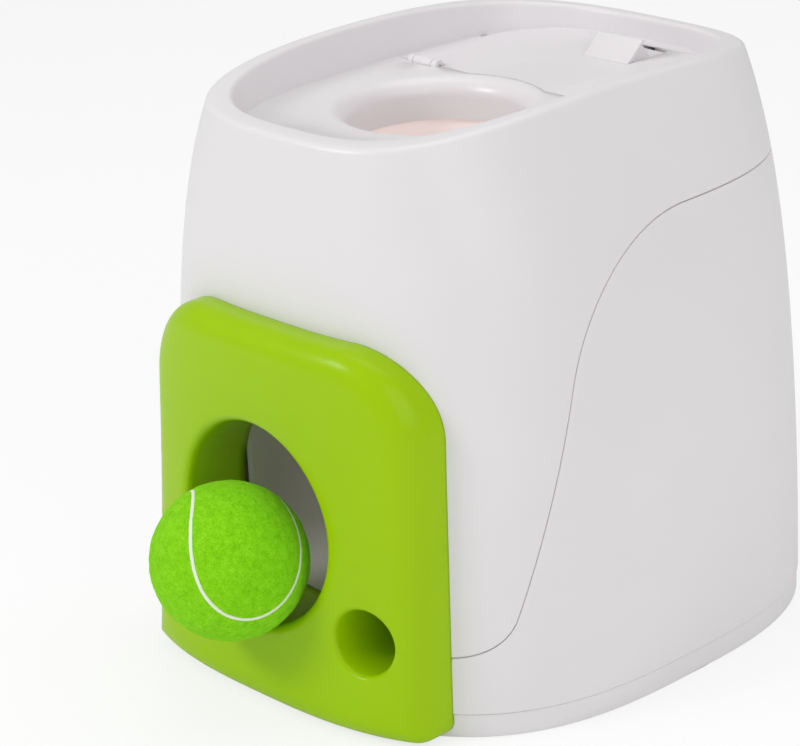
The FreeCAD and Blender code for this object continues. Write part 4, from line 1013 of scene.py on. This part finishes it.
@dataclass
class FrontPanel:
    """The thick coloured panel with rounded edges and two deep collars."""

    finishes: Finishes
    form: BodyForm = BodyForm()
    proud: float = 15 * MM
    half: float = 77 * MM
    widening: float = 0.07
    shift: float = 4 * MM
    top: float = 164.7 * MM
    low: float = 1 * MM
    corner: float = 36.5 * MM
    foot: float = 6 * MM
    soft: float = 11 * MM
    fall: float = 9 * MM
    edge_inset: float = 6.4 * MM
    foot_points: int = 12
    corner_points: int = 36
    run_points: int = 50
    back_inset: float = 2.6 * MM
    face_spacing: float = 2.4 * MM
    back_spacing: float = 6 * MM
    back: float = -0.3 * MM
    collar_wall: float = 2.4 * MM
    collar_end: float = -100 * MM
    outlets: tuple[tuple[float, float, float, float], ...] = (
        (-2 * MM, 79 * MM, 43.5 * MM, 4 * MM), (60.5 * MM, 43.6 * MM, 14 * MM, 2.5 * MM))

    def outline(self, inset: float) -> Array:
        """Return the panel's outline in the XZ plane: straight sides and four round corners.

        Args:
            inset: How far the outline is moved inwards.

        Returns:
            Points by two, anticlockwise, with the same count for every inset.
        """
        half, top, low = self.half - inset, self.top - inset, self.low + inset
        big, small = self.corner - inset, max(self.foot - inset, 0.6 * MM)
        parts = []
        corners = ((half - small, low + small, small, -math.pi / 2), (half - big, top - big, big, 0.0),
                   (-half + big, top - big, big, math.pi / 2), (-half + small, low + small, small, math.pi))
        for index, (x, z, radius, start) in enumerate(corners):
            count = self.foot_points if index in (0, 3) else self.corner_points
            angle = start + np.linspace(0, math.pi / 2, count)
            arc = np.stack([x + radius * np.cos(angle), z + radius * np.sin(angle)], -1)
            parts.append(arc)
            nx, nz, nr, ns = corners[(index + 1) % 4]
            end = np.array([nx + nr * math.cos(ns), nz + nr * math.sin(ns)])
            share = np.linspace(0, 1, self.run_points)[1:-1, None]
            parts.append(arc[-1] + (end - arc[-1]) * share)
        flat = np.concatenate(parts)
        flat[:, 0] = flat[:, 0] * (1 + self.widening * (self.top - flat[:, 1]) / self.top) + self.shift
        return flat

    def soft_proud(self, flat: Array) -> Array:
        """Return how far the face stands out: full inside, falling in an ellipse to the outline.

        Args:
            flat: Points by two.

        Returns:
            The distance out from the housing at each point.
        """
        share = np.clip(1 - to_line(flat, self.outline(0.0)) / self.soft, 0.0, 1.0)
        return self.proud - self.fall * (1 - np.sqrt(1 - share ** 2))

    def lift(self, flat: Array, proud: Array | float) -> Array:
        """Carry flat XZ points onto the panel's curved face.

        Args:
            flat: Points by two.
            proud: How far they stand out from the housing.

        Returns:
            Points by three.
        """
        y = self.form.front_y(flat[:, 0], flat[:, 1], proud)
        return np.stack([flat[:, 0], y, flat[:, 1]], -1)

    def build(self) -> None:
        """Build and dress the panel."""
        parts = [self._face(True), self._face(False), self._side()]
        parts += [self._collar(*outlet) for outlet in self.outlets]
        thing = Mesh.joined("panel", parts, 2e-5)
        Piece(thing, Body.HOUSING, "panel", self.finishes.panel, ("front_panel",)).place()

    def _hole(self, outlet: tuple[float, float, float, float], front: bool) -> Array:
        """Return an outlet's outline where it leaves the front or the back face."""
        x, z, radius, lip = outlet
        return circle(x, z, radius + (lip if front else self.collar_wall), 160 if radius > 0.02 else 80)

    def _face(self, front: bool) -> bpy.types.Object:
        """Build the front or the back face between the outline and the outlets.

        Args:
            front: Whether it is the front face.

        Returns:
            The face.
        """
        holes = [self._hole(outlet, front) for outlet in self.outlets]
        outline = self.outline(self.edge_inset if front else self.back_inset)
        flat, faces = filled(outline, holes, self.face_spacing if front else self.back_spacing)
        return Mesh.make("panel_face", self.lift(flat, self.soft_proud(flat) if front else self.back), faces)

    def _side(self) -> bpy.types.Object:
        """Build the soft edge, the side wall and the back lip.

        Returns:
            The surface round the panel.
        """
        rows = []
        turns = np.linspace(math.asin(1 - self.edge_inset / self.soft), math.pi / 2, 14)
        for t in turns:
            ring = self.outline(self.soft * (1 - math.sin(t)))
            rows.append(self.lift(ring, self.soft_proud(ring)))
        wall = self.proud - self.fall
        for w in np.linspace(0, 1, 5)[1:]:
            rows.append(self.lift(self.outline(0.0), wall + (self.back - wall) * w))
        rows.append(self.lift(self.outline(self.back_inset), self.back))
        return Mesh.grid("panel_side", np.array(rows), Closing.COLUMNS)

    def _collar(self, x: float, z: float, radius: float, lip: float) -> bpy.types.Object:
        """Build an outlet's rounded lip, its bore and the collar's outside.

        Args:
            x: The outlet's place across.
            z: Its height.
            radius: The bore's radius.
            lip: The radius of the rounded lip.

        Returns:
            The collar's surface.
        """
        count = 160 if radius > 0.02 else 80
        rows = []
        for t in np.linspace(0, math.pi / 2, 9):
            ring = circle(x, z, radius + lip * (1 - math.sin(t)), count)
            rows.append(self.lift(ring, self.soft_proud(ring) - lip * (1 - math.cos(t))))
        mouth = rows[-1]
        for w in np.linspace(0, 1, 8)[1:]:
            row = mouth.copy()
            row[:, 1] = mouth[:, 1] + (self.collar_end - mouth[:, 1]) * w
            rows.append(row)
        outside = circle(x, z, radius + self.collar_wall, count)
        root = self.lift(outside, self.back)
        for w in (1.0, 0.0):
            row = root.copy()
            row[:, 1] = root[:, 1] + (self.collar_end - root[:, 1]) * w
            rows.append(row)
        return Mesh.grid("panel_collar", np.array(rows), Closing.COLUMNS)


@dataclass
class PlayBall:
    """The felt ball: a woven cover with a pale curved seam sunk into it."""

    finishes: Finishes
    radius: float = 33.5 * MM
    seam_swing: float = 0.27
    seam_width: float = 1.6 * MM
    seam_depth: float = 0.45 * MM
    cells: int = 124
    turn: tuple[float, float, float] = (0.637, 0.314, -2.618)

    def seam_curve(self, count: int) -> Array:
        """Return unit points of the seam: a tennis-ball curve from sines and cosines.

        Args:
            count: Number of points.

        Returns:
            Points by three on the unit sphere.
        """
        t = np.linspace(0, TAU, count, endpoint=False)
        a = self.seam_swing
        x = (1 - a) * np.cos(t) + a * np.cos(3 * t)
        y = (1 - a) * np.sin(t) - a * np.sin(3 * t)
        z = 2 * math.sqrt(a * (1 - a)) * np.sin(2 * t)
        curve = np.stack([x, y, z], -1)
        return curve / np.linalg.norm(curve, axis=1, keepdims=True)

    def build(self) -> None:
        """Build and dress the ball and its seam."""
        low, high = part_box("play_ball")
        middle = (np.array(low) + np.array(high)) / 2
        turn = np.array(Matrix.Rotation(self.turn[2], 3, "Z") @ Matrix.Rotation(self.turn[1], 3, "Y")
                        @ Matrix.Rotation(self.turn[0], 3, "X"))
        curve = self.seam_curve(720) @ turn.T
        unit = self._cube_sphere(self.cells)
        away = np.arccos(np.clip((unit @ curve.T).max(1), -1, 1)) * self.radius
        sink = self.seam_depth * np.exp(-(away / (self.seam_width * 0.62)) ** 4)
        fuzz = 0.12 * MM * self._lumps(unit)
        points = middle + unit * (self.radius - 0.25 * MM - sink + fuzz)[:, None]
        thing = Mesh.make("ball_cover", points, self._cube_faces(self.cells))
        work = bmesh.new()
        work.from_mesh(thing.data)
        bmesh.ops.remove_doubles(work, verts=work.verts, dist=1e-6)
        work.to_mesh(thing.data)
        work.free()
        thing.data.shade_smooth()
        Piece(thing, Body.BALL, "felt", self.finishes.felt, ("play_ball",)).place()
        self._seam(middle, curve)

    def _lumps(self, unit: Array) -> Array:
        """Work out gentle unevenness of the felt: a sum of seeded plane waves.

        Args:
            unit: Unit points by three.

        Returns:
            A height at each point, about -1 to 1.
        """
        chance = np.random.default_rng(7)
        total = np.zeros(len(unit))
        for _ in range(60):
            way = chance.normal(size=3)
            total += np.sin(unit @ way * chance.uniform(12, 55) + chance.uniform(0, TAU))
        return total / 8

    def _seam(self, middle: Array, curve: Array) -> None:
        """Build the raised rubber line along the seam as a flat tube.

        Args:
            middle: The ball's centre.
            curve: Unit points of the seam.
        """
        along = np.roll(curve, -1, 0) - np.roll(curve, 1, 0)
        along /= np.linalg.norm(along, axis=1, keepdims=True)
        side = np.cross(curve, along)
        rows = []
        for t in np.linspace(0, TAU, 14, endpoint=False):
            across = self.seam_width / 2 * math.cos(t)
            up = 0.30 * MM * math.sin(t)
            rows.append(middle + curve * (self.radius - 0.62 * MM + up) + side * across)
        thing = Mesh.grid("ball_seam", np.array(rows), Closing.BOTH)
        Piece(thing, Body.BALL, "felt", self.finishes.seam).place()

    @staticmethod
    def _cube_sphere(count: int) -> Array:
        """Make a sphere from a cube's six gridded faces, evened by a tangent.

        Args:
            count: Cells along a face's side.

        Returns:
            Unit points by three.
        """
        share = np.tan(np.linspace(-math.pi / 4, math.pi / 4, count + 1))
        u, v = np.meshgrid(share, share, indexing="ij")
        one = np.ones_like(u)
        faces = [np.stack(p, -1) for p in ((one, u, v), (-one, v, u), (v, one, u), (u, -one, v),
                                           (u, v, one), (v, u, -one))]
        points = np.concatenate([face.reshape(-1, 3) for face in faces])
        return points / np.linalg.norm(points, axis=1, keepdims=True)

    @staticmethod
    def _cube_faces(count: int) -> Array:
        """List the quads of the six gridded faces.

        Args:
            count: Cells along a face's side.

        Returns:
            Quads by four.
        """
        side = count + 1
        r, c = np.meshgrid(np.arange(count), np.arange(count), indexing="ij")
        quad = np.stack([r * side + c, (r + 1) * side + c, (r + 1) * side + c + 1, r * side + c + 1], -1)
        quad = quad.reshape(-1, 4)
        return np.concatenate([quad + index * side * side for index in range(6)])


@dataclass
class CarriedPieces:
    """Pieces whose CAD shape is right: each gets a smoothly shaded copy and a finish."""

    finishes: Finishes

    def build(self) -> None:
        """Copy and dress each piece."""
        f = self.finishes
        plan = [
            ("base_plate", "base_pan", Body.HOUSING, "housing", f.shell),
            ("rubber_feet", "anti_slip_discs", Body.HOUSING, "feet", f.rubber),
            ("base_screws", "base_screw_set", Body.HOUSING, "steel", f.steel),
            ("panel_screws", "panel_screw_set", Body.HOUSING, "steel", f.steel),
            ("top_tray", "tray", Body.HOUSING, "housing", f.tray),
            ("tray_screws", "tray_screw_set", Body.HOUSING, "steel", f.steel),
            ("hopper_lid", "treat_lid", Body.LID, "housing", f.tray),
            ("lid_hinge_pins", "hinge_pin_set", Body.HOUSING, "steel", f.steel),
            ("lid_latch", "latch_tab", Body.LATCH, "housing", f.tray),
            ("drop_tube", "ball_tube", Body.HOUSING, "inner", f.tube),
            ("channel_supports", "trough_ribs", Body.HOUSING, "inner", f.inner),
            ("ball_channel", "ball_trough", Body.HOUSING, "inner", f.inner),
            ("treat_hopper", "treat_bin", Body.HOUSING, "inner", f.inner),
            ("mechanism_frame", "shaft_frame", Body.HOUSING, "inner", f.inner),
            ("axle_bushes", "bush_pair", Body.HOUSING, "bush", f.brass),
            ("wheel_axle", "wheel_shaft", Body.WHEEL, "steel", f.steel),
            ("treat_wheel", "pocket_wheel", Body.WHEEL, "inner", f.inner),
            ("wheel_shroud", "wheel_drum", Body.HOUSING, "inner", f.inner),
            ("ratchet_wheel", "ratchet", Body.WHEEL, "mechanism", f.mechanism),
            ("axle_clip", "shaft_clip", Body.WHEEL, "steel", f.steel),
            ("trip_lever", "lever_arm", Body.LEVER, "mechanism", f.mechanism),
            ("drive_pawl", "pawl_blade", Body.PAWL, "mechanism", f.mechanism),
            ("treat_chute", "treat_slide", Body.HOUSING, "inner", f.inner),
        ]
        for node, name, body, slot, material in plan:
            Piece(Mesh.copied(node, name), body, slot, material, (node,)).place()


@dataclass
class LatchLip:
    """The sloping lip that a finger pulls the lid's latch by, with a web at each end."""

    finishes: Finishes
    run: float = 10.5 * MM
    rise: float = 8.4 * MM
    wall: float = 2.0 * MM
    web: float = 2.0 * MM
    sunk: float = 0.6 * MM
    left: float = -5 * MM
    right: float = 21 * MM
    front: float = 75 * MM
    base: float = 232 * MM
    web_margin: float = 1.0 * MM
    web_drop: float = 1.2 * MM
    web_run: float = 1.6
    edge: float = 0.35 * MM

    def build(self) -> None:
        """Build and dress the lip on the latch's tab."""
        foot, crest = self.base - self.sunk, self.base + self.rise
        front, tip = self.front, self.front + self.run
        sheet = np.array([[front, foot], [tip, crest], [tip + self.wall, crest],
                          [front + 2 * self.wall, foot]])
        brace = np.array([[front + self.wall, foot], [tip, crest - self.web_drop],
                          [front + self.web_run * self.run, foot]])
        inner_left, inner_right = self.left + self.web_margin, self.right - self.web_margin
        parts = [self._prism(sheet, self.left, self.right),
                 self._prism(brace, inner_left, inner_left + self.web),
                 self._prism(brace, inner_right - self.web, inner_right)]
        thing = Mesh.joined("latch_finger_lip", parts, 1e-7)
        bevel = thing.modifiers.new("edges", "BEVEL")
        bevel.width = self.edge
        bevel.segments = 3
        Piece(thing, Body.LATCH, "housing", self.finishes.tray).place()

    @staticmethod
    def _prism(side: Array, start: float, stop: float) -> bpy.types.Object:
        """Make a closed prism along X over a YZ outline.

        Args:
            side: The outline's points by two.
            start: Where it starts along X.
            stop: Where it ends.

        Returns:
            The prism.
        """
        count = len(side)
        points = np.concatenate([np.insert(side, 0, x, 1) for x in (start, stop)])
        i = np.arange(count)
        j = (i + 1) % count
        return Mesh.make("latch_part", points, np.stack([i, j, j + count, i + count], -1),
                         np.array([i[::-1], i + count]))


@dataclass
class Studio:
    """Plain pale floor and backdrop, soft lamps and the camera."""

    yaw: float = 0.7992
    pitch: float = 0.3627
    roll: float = -0.0411
    distance: float = 1.3
    focal_px: float = 2978.4
    centre_x_px: float = 79.8
    centre_y_px: float = 41.4
    frame_px: float = 800.0
    sensor_mm: float = 36.0
    aim_z: float = 0.125

    def build(self) -> None:
        """Build the camera, the lamps, the world and the floor."""
        self._camera()
        self._world()
        self._lamps()
        self._floor()

    def _camera(self) -> None:
        """Aim the camera at the middle of the photograph's frame, with no lens shift."""
        th, ph, rho = self.yaw, self.pitch, self.roll
        back = Vector((math.sin(th) * math.cos(ph), -math.cos(th) * math.cos(ph), math.sin(ph)))
        level = Vector((math.cos(th), math.sin(th), 0))
        rise = back.cross(level)
        right = level * math.cos(rho) + rise * math.sin(rho)
        up = rise * math.cos(rho) - level * math.sin(rho)
        aim = -back - right * (self.centre_x_px / self.focal_px) - up * (self.centre_y_px / self.focal_px)
        aim.normalize()
        right = (right - aim * right.dot(aim)).normalized()
        up = (-aim).cross(right)
        turn = Matrix((right, up, -aim)).transposed().to_4x4()
        turn.translation = Vector((0, 0, self.aim_z)) + back * self.distance
        lens = bpy.data.cameras.new("photo_camera")
        lens.sensor_width = self.sensor_mm
        lens.lens = self.focal_px * self.sensor_mm / self.frame_px
        camera = bpy.data.objects.new("photo_camera", lens)
        camera.matrix_world = turn
        bpy.context.collection.objects.link(camera)
        bpy.context.scene.camera = camera

    def _world(self) -> None:
        """Light evenly from all round, white where the camera or a transmission ray looks."""
        world = bpy.data.worlds.new("studio")
        bpy.context.scene.world = world
        world.use_nodes = True
        nodes, links = world.node_tree.nodes, world.node_tree.links
        path = nodes.new("ShaderNodeLightPath")
        seen = nodes.new("ShaderNodeMath")
        seen.operation = "MAXIMUM"
        links.new(path.outputs["Is Camera Ray"], seen.inputs[0])
        links.new(path.outputs["Is Transmission Ray"], seen.inputs[1])
        white = nodes.new("ShaderNodeBackground")
        white.inputs["Strength"].default_value = 1.0
        white.inputs["Color"].default_value = (1, 1, 1, 1)
        plain = nodes["Background"]
        plain.inputs["Color"].default_value = (1.0, 1.0, 1.0, 1)
        plain.inputs["Strength"].default_value = 0.54
        mix = nodes.new("ShaderNodeMixShader")
        links.new(seen.outputs[0], mix.inputs[0])
        links.new(plain.outputs[0], mix.inputs[1])
        links.new(white.outputs[0], mix.inputs[2])
        links.new(mix.outputs[0], nodes["World Output"].inputs["Surface"])

    def _lamps(self) -> None:
        """Place the softboxes: a window-like key, a broad fill and a top light."""
        plan = (("key", (-0.55, -1.25, 1.05), 0.55, 0.34, 8.0), ("fill", (1.5, -0.4, 0.9), 1.2, 1.2, 6.3),
                ("top", (0.0, 0.2, 1.7), 1.2, 1.2, 6.0))
        for name, place, wide, tall, power in plan:
            light = bpy.data.lights.new(name, "AREA")
            light.shape = "RECTANGLE"
            light.size, light.size_y = wide, tall
            light.energy = power
            lamp = bpy.data.objects.new(name, light)
            away = Vector(place) - Vector((0, 0, 0.12))
            lamp.matrix_world = Matrix.Translation(place) @ away.to_track_quat("Z", "Y").to_matrix().to_4x4()
            bpy.context.collection.objects.link(lamp)

    def _floor(self) -> None:
        """Lay a wide pale floor that shows white and keeps a soft shadow."""
        s = 3.0
        points = np.array([[-s, -s, 0], [s, -s, 0], [s, s, 0], [-s, s, 0]], float)
        thing = Mesh.make("floor", points - np.array([0, 0, 0.0003]), np.array([[0, 1, 2, 3]]))
        shade = Shader("floor_white")
        shade.set(Base_Color=rgb(250, 250, 250), Roughness=0.9)
        path = shade.nodes.new("ShaderNodeLightPath")
        glow = shade.nodes.new("ShaderNodeEmission")
        glow.inputs["Color"].default_value = (1, 1, 1, 1)
        glow.inputs["Strength"].default_value = 1.0
        mix = shade.nodes.new("ShaderNodeMixShader")
        part = shade.nodes.new("ShaderNodeMath")
        part.operation = "MULTIPLY"
        part.inputs[1].default_value = 0.75
        shade.links.new(path.outputs["Is Camera Ray"], part.inputs[0])
        shade.links.new(part.outputs[0], mix.inputs[0])
        shade.links.new(shade.shader.outputs[0], mix.inputs[1])
        shade.links.new(glow.outputs[0], mix.inputs[2])
        shade.links.new(mix.outputs[0], shade.nodes["Material Output"].inputs["Surface"])
        thing.data.materials.append(shade.material)


def main() -> None:
    """Build the studio and every sub-assembly in order."""
    logging.basicConfig(level=logging.INFO, format="%(message)s")
    bpy.context.scene.view_settings.view_transform = "Standard"
    finishes = Finishes()
    Studio().build()
    Housing(finishes).build()
    FrontPanel(finishes).build()
    PlayBall(finishes).build()
    CarriedPieces(finishes).build()
    LatchLip(finishes).build()


if __name__ == "__main__":
    main()
